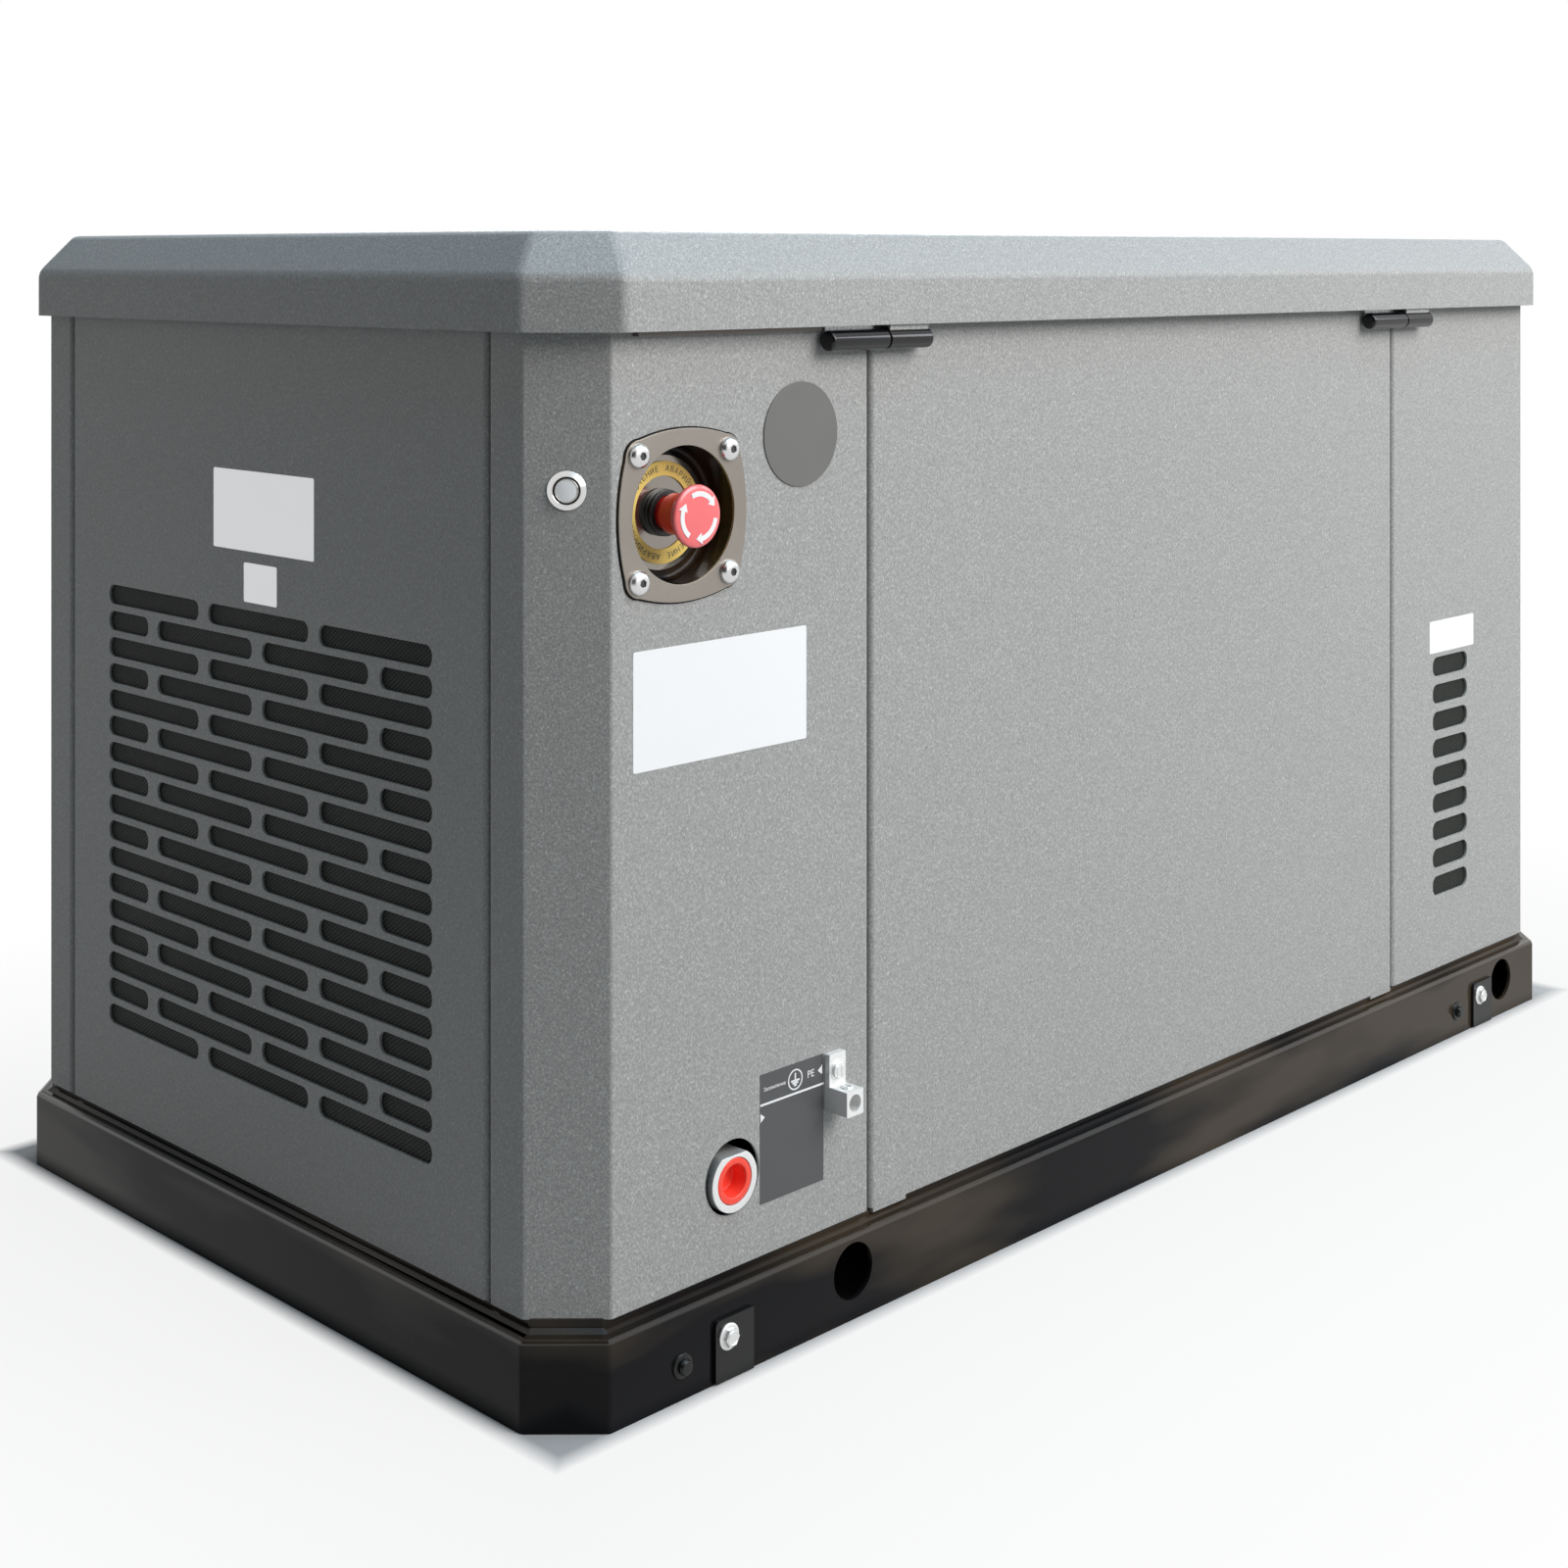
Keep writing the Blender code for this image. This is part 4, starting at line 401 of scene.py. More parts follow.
@dataclass(frozen=True)
class HeatedSteel(Finish):
    """Exhaust steel with straw and blue heat tints."""

    def shade(self, graph: Graph) -> None:
        """Run a ramp of heat colours through a broad noise."""
        at = graph.place()
        fine = graph.noise(graph.place((1.0, 1.0, 4.0)), self.grain, 3.0)
        heat = graph.noise(at, self.patch, 3.0)
        stops = [(0.30, (0.36, 0.34, 0.31)), (0.48, (0.34, 0.27, 0.17)), (0.58, (0.22, 0.15, 0.14)),
                 (0.70, (0.16, 0.17, 0.22))]
        ramp = graph.term(graph.node("ShaderNodeValToRGB", {"stops": stops}, {0: heat}))
        colour = graph.shaded(ramp, 0.8 + fine * 0.4)
        self.finish(graph, colour, (self.roughness + (fine - 0.5) * 0.3).clamped(), graph.relief(fine, self.relief))


POWDER = PowderCoat("powder_coat_grey", (0.335, 0.334, 0.324), 0.50, grain=800.0, relief=0.00034, mottle=0.52,
                    patchiness=0.02, patch=5.0, specular=0.30)
# The tray's brown tint is a painted reflection of the floor, laid in level bands on the walls.
TRAY_GLOSS = TrayEnamel("gloss_black_enamel", (0.006, 0.006, 0.007), 0.13, grain=250.0, relief=0.000004, haze=0.4,
                        patch=2.6, tint=(0.042, 0.031, 0.020), stretch=(1.0, 1.0, 5.0), specular=0.10,
                        coat_roughness=0.17)
HINGE_GLOSS = Finish("gloss_black_steel", (0.006, 0.006, 0.007), 0.12, coat=0.25, grain=900.0, relief=0.00001,
                     haze=0.4, specular=0.25)
# The frame leaf is glossy black steel; this light grey with dark spots is a painted reflection of the light in it.
LEAF_REFLECTION = Finish("bright_hinge_leaf", (0.42, 0.43, 0.44), 0.28, metallic=0.7, grain=420.0, relief=0.00006,
                    mottle=0.35, haze=0.5, patch=60.0, patchiness=0.35)
BRACKET_PAINT = Finish("bracket_enamel", (0.010, 0.010, 0.010), 0.16, grain=500.0, relief=0.00002, haze=0.4,
                       specular=0.30)
FRAME_PAINT = Finish("frame_enamel", (0.030, 0.031, 0.032), 0.42, grain=700.0, relief=0.00004, haze=0.3)
MESH = ExpandedMesh("expanded_steel_mesh", (0.052, 0.056, 0.050), 0.62, metallic=0.2, specular=0.12)
FOAM = Finish("acoustic_foam", (0.022, 0.022, 0.023), 0.96, grain=1400.0, relief=0.0006, mottle=0.35, haze=0.05,
              specular=0.2)
PLATE_BRONZE = Finish("satin_bronze_plate", (0.285, 0.258, 0.228), 0.34, metallic=0.80, grain=260.0, relief=0.000008,
                      mottle=0.07, haze=0.35, stretch=(1.0, 1.0, 12.0), patchiness=0.10, patch=14.0)
FLOOR_BRONZE = Finish("polished_bronze_floor", (0.30, 0.275, 0.245), 0.15, metallic=0.92, grain=260.0, relief=0.000004,
                      mottle=0.05, haze=0.35, patch=20.0)
SCREW_STEEL = Finish("screw_steel", (0.66, 0.66, 0.66), 0.27, metallic=1.0, grain=900.0, relief=0.000006, mottle=0.10,
                     haze=0.6)
# Its brown tint is a painted reflection in the black gloss.
CUP_BLACK = Finish("cup_black", (0.005, 0.005, 0.006), 0.12, grain=400.0, haze=0.4, patch=30.0,
                   tint=(0.028, 0.016, 0.007), specular=0.10)
# The ring's yellow is lightened past its own colour as painted light against the shade of the cup.
LEGEND_YELLOW = Finish("legend_yellow", (1.0, 0.96, 0.64), 0.42, grain=1500.0, relief=0.00001, mottle=0.04)
LEGEND_INK = Finish("legend_ink", (0.045, 0.042, 0.040), 0.50, mottle=0.2)
WHITE_INK = Finish("white_ink", (0.86, 0.85, 0.85), 0.45, mottle=0.03, patchiness=0.02)
BLACK_PLASTIC = Finish("moulded_black_plastic", (0.016, 0.016, 0.017), 0.36, grain=1800.0, relief=0.00003,
                       mottle=0.2, haze=0.3)
# The head's red is lightened towards pink as a painted sheen on its face; the plunger's red is the plain colour.
RED_HEAD_SHEEN = Finish("red_button_plastic", (0.90, 0.155, 0.16), 0.30, coat=0.4, grain=1200.0, relief=0.000010,
                     mottle=0.05, patch=60.0)
NECK_RED = Finish("red_neck_plastic", (0.88, 0.035, 0.022), 0.34, grain=1200.0, relief=0.000010, mottle=0.05)
PLUG_RED = Finish("red_plug_plastic", (0.97, 0.075, 0.045), 0.40, grain=900.0, relief=0.00003, mottle=0.06)
CHROME = Finish("polished_stainless", (0.66, 0.66, 0.65), 0.16, metallic=1.0, grain=900.0, relief=0.000004,
                mottle=0.03, haze=0.5)
CAP_SILVER = Finish("silver_cap", (0.97, 0.97, 0.97), 0.30, coat=0.3, grain=1200.0, relief=0.000008, mottle=0.01,
                    patchiness=0.0)
ZINC = Finish("bright_zinc", (0.76, 0.76, 0.75), 0.38, metallic=0.65, grain=700.0, relief=0.00002, mottle=0.12,
              haze=0.5, patch=40.0, patchiness=0.12)
ZINC_FACE = Finish("machined_zinc_face", (0.80, 0.80, 0.79), 0.45, metallic=0.45, grain=600.0, relief=0.00002,
                   mottle=0.08)
PATCH_GREY = Finish("grey_cover_film", (0.138, 0.135, 0.127), 0.34, coat=0.15, grain=1100.0, relief=0.00003,
                    mottle=0.18, patch=12.0, patchiness=0.15)
LABEL_PLAIN = Finish("plain_label_film", (0.86, 0.86, 0.86), 0.22, coat=0.8, grain=1400.0, relief=0.000003,
                     mottle=0.02, patchiness=0.02, specular=0.9)
LABEL_FOIL = Finish("foil_label_film", (0.78, 0.79, 0.80), 0.30, metallic=0.75, grain=1400.0, relief=0.000003,
                    mottle=0.02, haze=0.1, patchiness=0.02)
LABEL_DARK = Finish("dark_label_film", (0.070, 0.071, 0.074), 0.42, grain=1400.0, relief=0.000005, mottle=0.06)
GASKET = Finish("gasket_strip", (0.17, 0.15, 0.135), 0.50, metallic=0.3, grain=900.0, relief=0.00004, mottle=0.2)
CAST_ALUMINIUM = Finish("cast_aluminium", (0.50, 0.51, 0.51), 0.50, metallic=0.75, grain=650.0, relief=0.00018,
                        mottle=0.18, haze=0.4, patch=18.0, patchiness=0.14)
CAST_IRON = Finish("painted_stator", (0.045, 0.047, 0.050), 0.50, metallic=0.2, grain=500.0, relief=0.00012,
                   mottle=0.2, patch=16.0)
HEATED = HeatedSteel("heated_exhaust_steel", (0.33, 0.30, 0.27), 0.42, metallic=0.85, grain=420.0, relief=0.00004,
                     patch=7.0)
RUBBER = Finish("hose_rubber", (0.020, 0.020, 0.021), 0.70, grain=800.0, relief=0.00010, mottle=0.25)
FILTER_WHITE = Finish("filter_enamel", (0.72, 0.72, 0.69), 0.30, coat=0.3, grain=800.0, mottle=0.03)
YELLOW_PLASTIC = Finish("yellow_dipstick_plastic", (0.82, 0.58, 0.045), 0.35, grain=900.0, mottle=0.06)
CONTROL_GREY = Finish("control_box_grey", (0.060, 0.062, 0.065), 0.44, grain=1500.0, relief=0.00008, mottle=0.2)
CARD_FELT = Finish("card_felt", (0.035, 0.034, 0.032), 0.9, patch=1.5, patchiness=0.2)
COPPER_WINDING = Finish("varnished_winding", (0.36, 0.13, 0.05), 0.35, metallic=0.5, grain=320.0, relief=0.0006,
                        mottle=0.5, stretch=(6.0, 1.0, 1.0))


# ---------------------------------------------------------------- outlines


def rounded(points: Sequence[Sequence[float]], closed: bool = True, count: int = CORNER_STEPS) -> Outline:
    """Round the corners of a path.

    Args:
        points: corners as x, y and an optional radius.
        closed: whether the last corner joins the first.
        count: steps of each rounded corner.

    Returns:
        The path's points.
    """
    path: Outline = []
    total = len(points)
    for index, point in enumerate(points):
        corner = Vector(point[:2])
        radius = point[2] if len(point) > 2 else 0.0
        if radius <= 0.0 or (not closed and index in (0, total - 1)):
            path.append(tuple(corner))
            continue
        before = (Vector(points[index - 1][:2]) - corner).normalized()
        after = (Vector(points[(index + 1) % total][:2]) - corner).normalized()
        half = before.angle(after) / 2
        centre = corner + (before + after).normalized() * (radius / sin(half))
        start = corner + before * (radius / tan(half)) - centre
        end = corner + after * (radius / tan(half)) - centre
        turn = start.angle_signed(end)
        path += [tuple(centre + Matrix.Rotation(-turn * step / count, 2) @ start) for step in range(count + 1)]
    return path


def circle(radius: float, count: int = HOLE_STEPS, x: float = 0.0, y: float = 0.0) -> Outline:
    """A round outline."""
    return [(x + radius * cos(2 * pi * step / count), y + radius * sin(2 * pi * step / count))
            for step in range(count)]


def rectangle(width: float, height: float, radius: float, x: float = 0.0, y: float = 0.0,
              count: int = CORNER_STEPS) -> Outline:
    """A rectangle with rounded corners about a centre."""
    half_x, half_y = width / 2, height / 2
    return rounded([(x + half_x, y - half_y, radius), (x + half_x, y + half_y, radius),
                    (x - half_x, y + half_y, radius), (x - half_x, y - half_y, radius)], count=count)


def cut_corner_box(half_x: float, half_y: float, leg: float, radius: float, count: int = FOLD_STEPS) -> Outline:
    """A rectangle with its corners cut at 45 degrees and each fold rounded.

    Args:
        half_x: half length.
        half_y: half width.
        leg: how far each corner is cut back.
        radius: radius of the folds.
        count: steps of each fold.

    Returns:
        The outline, anticlockwise.
    """
    corners = []
    for sign_x, sign_y in ((1, -1), (1, 1), (-1, 1), (-1, -1)):
        pair = [(sign_x * (half_x - leg), sign_y * half_y, radius), (sign_x * half_x, sign_y * (half_y - leg), radius)]
        corners += pair if sign_x * sign_y < 0 else pair[::-1]
    return rounded(corners, count=count)


def hexagon(across: float, x: float = 0.0, y: float = 0.0) -> Outline:
    """A hexagon by its width across the flats."""
    return circle(across / sqrt(3.0), 6, x, y)


def facing(out: Sequence[float], at: Sequence[float], up: Sequence[float] = (0.0, 0.0, 1.0)) -> Matrix:
    """The matrix that lays a flat shape's face outwards at a place.

    Args:
        out: outward direction.
        at: the shape's origin.
        up: the direction of the shape's Y axis.

    Returns:
        The placing matrix.
    """
    z_axis = Vector(out).normalized()
    x_axis = Vector(up).cross(z_axis).normalized()
    y_axis = z_axis.cross(x_axis)
    turn = Matrix((x_axis, y_axis, z_axis)).transposed().to_4x4()
    return Matrix.Translation(Vector(at)) @ turn


# ---------------------------------------------------------------- modelling


class Form:
    """A mesh in the making."""

    def __init__(self) -> None:
        """Start empty."""
        self.mesh = bmesh.new()

    def block(self, low: Sequence[float], high: Sequence[float], edge: float = 0.0, steps: int = 2) -> "Form":
        """Add a box between two corners with softened edges."""
        low, high = Vector(low), Vector(high)
        verts = bmesh.ops.create_cube(self.mesh, size=1.0)["verts"]
        bmesh.ops.scale(self.mesh, vec=high - low, verts=verts)
        bmesh.ops.translate(self.mesh, vec=(low + high) / 2, verts=verts)
        if edge:
            self.bevel({line for vert in verts for line in vert.link_edges}, edge, steps)
        return self

    def bevel(self, edges: Iterable[bmesh.types.BMEdge], width: float, steps: int = 2) -> "Form":
        """Round the given edges."""
        bmesh.ops.bevel(self.mesh, geom=list(edges), offset=width, offset_type="OFFSET", affect="EDGES",
                        segments=steps, profile=0.5, material=-1, clamp_overlap=True)
        return self

    def soften(self, width: float, steps: int = 2, angle: float = radians(50),
               only: Callable[[bmesh.types.BMEdge], bool] = lambda edge: True) -> "Form":
        """Round every edge that turns by more than an angle."""
        self.mesh.normal_update()
        sharp = [edge for edge in self.mesh.edges
                 if len(edge.link_faces) == 2 and edge.calc_face_angle(0.0) > angle and only(edge)]
        return self.bevel(sharp, width, steps)

    def loop(self, outline: Outline, height: float, closed: bool = True) -> list[bmesh.types.BMEdge]:
        """Draw an outline at a height and return its edges."""
        return self.chain([(x, y, height) for x, y in outline], closed)[1]

    def chain(self, places: Iterable[Sequence[float]],
              closed: bool) -> tuple[list[bmesh.types.BMVert], list[bmesh.types.BMEdge]]:
        """Draw a line through places and return its corners and edges."""
        verts = [self.mesh.verts.new(place) for place in places]
        pairs = list(zip(verts, verts[1:])) + ([(verts[-1], verts[0])] if closed else [])
        return verts, [self.mesh.edges.new(pair) for pair in pairs]

    def raise_faces(self, faces: list[bmesh.types.BMFace], height: float) -> list[bmesh.types.BMVert]:
        """Draw faces upwards into a solid and return its upper corners."""
        raised = bmesh.ops.extrude_face_region(self.mesh, geom=faces)["geom"]
        verts = [item for item in raised if isinstance(item, bmesh.types.BMVert)]
        bmesh.ops.translate(self.mesh, vec=(0, 0, height), verts=verts)
        return verts

    def lofted(self, rings: Sequence[tuple[Outline, float]]) -> "Form":
        """Join outlines, each at its height, and close the last one."""
        loops = [self.loop(outline, height) for outline, height in rings]
        for lower, upper in zip(loops, loops[1:]):
            bmesh.ops.bridge_loops(self.mesh, edges=lower + upper)
        bmesh.ops.contextual_create(self.mesh, geom=loops[-1])
        return self

    def merged(self) -> "Form":
        """Merge doubled corners and turn every face outwards."""
        bmesh.ops.remove_doubles(self.mesh, verts=list(self.mesh.verts), dist=MERGE_DISTANCE)
        bmesh.ops.recalc_face_normals(self.mesh, faces=list(self.mesh.faces))
        return self

    def plate(self, outlines: Sequence[Outline], bottom: float, top: float, edge: float = 0.0,
              steps: int = 2) -> "Form":
        """Fill outlines, the first with the others as holes, and give them a thickness.

        Args:
            outlines: the closed outlines.
            bottom: height of the lower face.
            top: height of the upper face.
            edge: radius of the upper rim.
            steps: steps of that radius.

        Returns:
            This form.
        """
        edges = [line for outline in outlines for line in self.loop(outline, bottom)]
        filled = bmesh.ops.triangle_fill(self.mesh, use_beauty=True, use_dissolve=False, edges=edges)
        faces = [item for item in filled["geom"] if isinstance(item, bmesh.types.BMFace)]
        verts = self.raise_faces(faces, top - bottom)
        if edge:
            chosen = set(verts)
            self.mesh.normal_update()
            rim = {line for vert in verts for line in vert.link_edges
                   if set(line.verts) <= chosen and line.calc_face_angle(0.0) > radians(60)}
            self.bevel(rim, edge, steps)
        return self

    def turned(self, profile: Sequence[Sequence[float]], ring: bool = False, steps: int = HOLE_STEPS,
               corner_steps: int = 3) -> "Form":
        """Spin a profile of radius and height about the Z axis.

        Args:
            profile: points as radius, height and an optional corner radius.
            ring: whether the profile is closed.
            steps: facets of a full turn.
            corner_steps: steps of each rounded corner.

        Returns:
            This form.
        """
        points = rounded(profile, ring, corner_steps)
        verts, edges = self.chain([(radius, 0, height) for radius, height in points], ring)
        bmesh.ops.spin(self.mesh, geom=verts + edges, cent=(0, 0, 0), axis=(0, 0, 1), dvec=(0, 0, 0),
                       angle=2 * pi, steps=steps, use_merge=True, use_normal_flip=False, use_duplicate=False)
        return self

    def place(self, matrix: Matrix) -> "Form":
        """Move and turn the whole form."""
        bmesh.ops.transform(self.mesh, matrix=matrix, verts=list(self.mesh.verts))
        return self

    def add(self, other: "Form", matrix: Matrix | None = None) -> "Form":
        """Take in another form, placed by a matrix, and free it."""
        if matrix is not None:
            other.place(matrix)
        carried = bpy.data.meshes.new("carried")
        other.mesh.to_mesh(carried)
        other.mesh.free()
        self.mesh.from_mesh(carried)
        bpy.data.meshes.remove(carried)
        return self

    def copied(self, node: str) -> "Form":
        """Take in a merged copy of a CAD node's mesh."""
        self.mesh.from_mesh(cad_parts[node].data)
        bmesh.ops.remove_doubles(self.mesh, verts=list(self.mesh.verts), dist=COPY_MERGE)
        bmesh.ops.dissolve_limit(self.mesh, angle_limit=FLAT_ANGLE, verts=list(self.mesh.verts),
                                 edges=list(self.mesh.edges), use_dissolve_boundaries=False)
        return self

    def add_shown(self, curve: bpy.types.Curve) -> "Form":
        """Take in a curve or text as a mesh, and remove it."""
        shown = bpy.data.objects.new("shown", curve)
        bpy.context.scene.collection.objects.link(shown)
        graph = bpy.context.evaluated_depsgraph_get()
        data = bpy.data.meshes.new_from_object(shown.evaluated_get(graph))
        self.mesh.from_mesh(data)
        bpy.data.objects.remove(shown)
        bpy.data.curves.remove(curve)
        bpy.data.meshes.remove(data)
        return self

    def skin(self, thickness: float, outward: Callable[[bmesh.types.BMFace], float]) -> "Form":
        """Give an open skin its sheet thickness on the inside.

        Args:
            thickness: the sheet's thickness.
            outward: how far a face's normal points out; the sum over the skin decides its direction.

        Returns:
            This form.
        """
        self.merged()
        if sum(outward(face) * face.calc_area() for face in self.mesh.faces) < 0:
            bmesh.ops.reverse_faces(self.mesh, faces=list(self.mesh.faces))
        self.mesh.normal_update()
        bmesh.ops.solidify(self.mesh, geom=list(self.mesh.faces), thickness=thickness)
        return self

    def piece(self, name: str, finish: Finish, slot: str, stands_for: Sequence[str] = (),
              body: Body = Body.ENCLOSURE, weighted: bool = True, smooth: float = SMOOTH_ANGLE) -> bpy.types.Object:
        """Finish the form as one piece of the object.

        Args:
            name: the piece's name.
            finish: its finish.
            slot: the record's material slot; not used.
            stands_for: the CAD nodes it replaces.
            body: the body it rides on.
            weighted: whether large faces keep their flat shading.
            smooth: edges that turn less than this are shaded smooth.

        Returns:
            The new object.
        """
        self.merged()
        data = bpy.data.meshes.new(name)
        self.mesh.to_mesh(data)
        self.mesh.free()
        data.shade_smooth()
        data.set_sharp_from_angle(angle=smooth)
        data.materials.append(finish.material())
        item = bpy.data.objects.new(name, data)
        bpy.context.scene.collection.objects.link(item)
        if weighted:
            normals = item.modifiers.new("flat_faces", "WEIGHTED_NORMAL")
            normals.keep_sharp = True
        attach(item, body.value)
        if stands_for:
            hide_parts(*stands_for)
        LOG.info("%s rides on %s, %d faces", name, body.value, len(data.polygons))
        return item


def folded_panel(corners: Sequence[Sequence[float]], fold: float, bottom: float, top: float, thickness: float,
                 side: Side, cuts: Sequence[Outline] = ()) -> Form:
    """A sheet folded along upright lines, with openings in its face on one side.

    Args:
        corners: plan corners of the outer face, in order.
        fold: outer fold radius.
        bottom: lower edge.
        top: upper edge.
        thickness: sheet thickness.
        side: the side whose face carries the openings.
        cuts: the openings, in that face's own coordinates.

    Returns:
        The panel.
    """
    form = Form()
    path = [(*point, fold) for point in corners]
    edges = form.loop(rounded(path, closed=False, count=FOLD_STEPS), bottom, closed=False)
    raised = [item for item in bmesh.ops.extrude_edge_only(form.mesh, edges=edges)["geom"]
              if isinstance(item, bmesh.types.BMVert)]
    bmesh.ops.translate(form.mesh, vec=(0, 0, top - bottom), verts=raised)
    form.mesh.normal_update()
    out = Vector(side.value)
    if cuts:
        cut_face(form, out, cuts)
    return form.skin(thickness, lambda face: face.normal.dot(out) * abs(face.normal.dot(out)))


def cut_face(form: Form, out: Vector, cuts: Sequence[Outline]) -> None:
    """Open holes in the largest face on one side of a form.

    Args:
        form: the form.
        out: the outward direction of that side.
        cuts: outlines in the face's plane, along its level and upright axes.
    """
    flat = [face for face in form.mesh.faces
            if abs(face.normal.dot(out)) > FLAT_SHARE and face.calc_center_median().dot(out) > 0]
    plate = max(flat, key=lambda face: face.calc_area())
    lay = facing(out, out * plate.calc_center_median().dot(out))
    edges = list(plate.edges)
    bmesh.ops.delete(form.mesh, geom=[plate], context="FACES_ONLY")
    for outline in cuts:
        edges += form.chain([lay @ Vector((x, y, 0)) for x, y in outline], True)[1]
    bmesh.ops.triangle_fill(form.mesh, use_beauty=True, use_dissolve=False, edges=edges)


def lettering(text: str, size: float) -> Form:
    """Letters of a print's thickness on one baseline, their capitals centred on the origin.

    Args:
        text: the word.
        size: the letter size.

    Returns:
        The letters, each filled within its own outlines.
    """
    curve = bpy.data.curves.new("letters", "FONT")
    curve.body, curve.size, curve.fill_mode, curve.resolution_u = text, 1.0, "NONE", 4
    curve.align_x, curve.align_y, curve.offset_y = "CENTER", "TOP_BASELINE", -0.35
    outlines = Form().add_shown(curve).mesh
    outlines.verts.index_update()
    sides = [[vert.co.xy for vert in edge.verts] for edge in outlines.edges]
    links = [tuple(vert.index for vert in edge.verts) for edge in outlines.edges]
    points, _, faces, *_ = delaunay_2d_cdt([vert.co.xy for vert in outlines.verts], links, [], 0, 0.0001)
    outlines.free()
    form = Form()
    verts = [form.mesh.verts.new((x * size, y * size, 0.0)) for x, y in points]
    for face in faces:
        centre = sum((points[index] for index in face), Vector((0.0, 0.0))) / len(face)
        if turns_round(centre, sides):
            form.mesh.faces.new([verts[index] for index in face])
    bmesh.ops.delete(form.mesh, geom=[vert for vert in verts if not vert.link_faces], context="VERTS")
    form.raise_faces(list(form.mesh.faces), PRINT_THICKNESS)
    return form


def turns_round(point: Vector, sides: Sequence[Sequence[Vector]]) -> int:
    """How many times directed outline sides run round a point."""
    turns = 0
    for start, end in sides:
        left = (end.x - start.x) * (point.y - start.y) - (point.x - start.x) * (end.y - start.y)
        if start.y <= point.y < end.y and left > 0:
            turns += 1
        elif end.y <= point.y < start.y and left < 0:
            turns -= 1
    return turns


# ---------------------------------------------------------------- the frame's sizes


def span(node: str) -> tuple[Vector, Vector]:
    """Lowest and highest corner of a CAD node."""
    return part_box(node)


def centre_of(node: str) -> Vector:
    """The middle of a CAD node's box."""
    low, high = span(node)
    return (low + high) / 2


# ---------------------------------------------------------------- tray base


@dataclass
class TrayBase:
    """The gloss-black tray under the enclosure, with its lifting holes and painted studs."""

    corner: float = 0.0385
    corner_fold: float = 0.005
    least_fold: float = 0.0006
    wall: float = 0.003
    rim_radius: float = 0.004
    rim_height: float = 0.0575
    deck_inset: float = 0.014
    hole_radius: float = 0.019
    hole_height: float = 0.033
    hole_places: tuple[float, float] = (-0.374, 0.528)
    stud_offset: float = 0.027
    stud_radius: float = 0.0052
    stud_sink: float = 0.0006
    stud_rise: float = 0.021

    def build(self) -> None:
        """Build the tray and its studs."""
        high = span("base_pan")[1]
        half_x, half_y = high.x, high.y
        drop = sqrt(0.5) * self.rim_radius
        rings = [(0.0, 0.0), (0.0, self.rim_height - self.rim_radius),
                 (self.rim_radius - drop, self.rim_height - self.rim_radius + drop),
                 (self.rim_radius, self.rim_height), (self.deck_inset - 0.0015, self.rim_height),
                 (self.deck_inset, self.rim_height + 0.0012), (self.deck_inset, high.z - 0.0008),
                 (self.deck_inset + 0.0008, high.z)]
        form = Form().lofted([
            (cut_corner_box(half_x - inset, half_y - inset, self.corner - inset * (2.0 - sqrt(2.0)),
                            max(self.corner_fold - inset, self.least_fold)), height) for inset, height in rings])
        form.mesh.normal_update()
        for side, sign in ((Side.FRONT, 1), (Side.REAR, -1)):
            cut_face(form, Vector(side.value), [circle(self.hole_radius, HOLE_STEPS, sign * x, self.hole_height)
                                                for x in self.hole_places])
        form.skin(self.wall, lambda face: face.normal.dot(face.calc_center_median() - Vector((0, 0, -1.0))))
        form.piece("base_pan_enamelled", TRAY_GLOSS, "base_paint", ["base_pan"])
        self.build_studs()

    def build_studs(self) -> None:
        """Painted stud ends beside the hold-down brackets."""
        wall_y = span("base_pan")[1].y
        form = Form()
        for side in (Side.FRONT, Side.REAR):
            word = side.name.lower()
            for end in ("left", "right"):
                low = span(f"hold_down_bracket_{word}_{end}")[0]
                at = (low.x - self.stud_offset, side.value[1] * (wall_y - self.stud_sink), low.z + self.stud_rise)
                stud = Form().turned([(0.0, 0.0065), (self.stud_radius - 0.001, 0.0065, 0.001),
                                      (self.stud_radius, 0.0045, 0.0008), (self.stud_radius, 0.0025),
                                      (self.stud_radius * 1.5, 0.0020, 0.0006), (self.stud_radius * 1.6, 0.0)],
                                     steps=24)
                form.add(stud, facing(side.value, at))
        form.piece("base_studs_painted", BRACKET_PAINT, "base_paint")


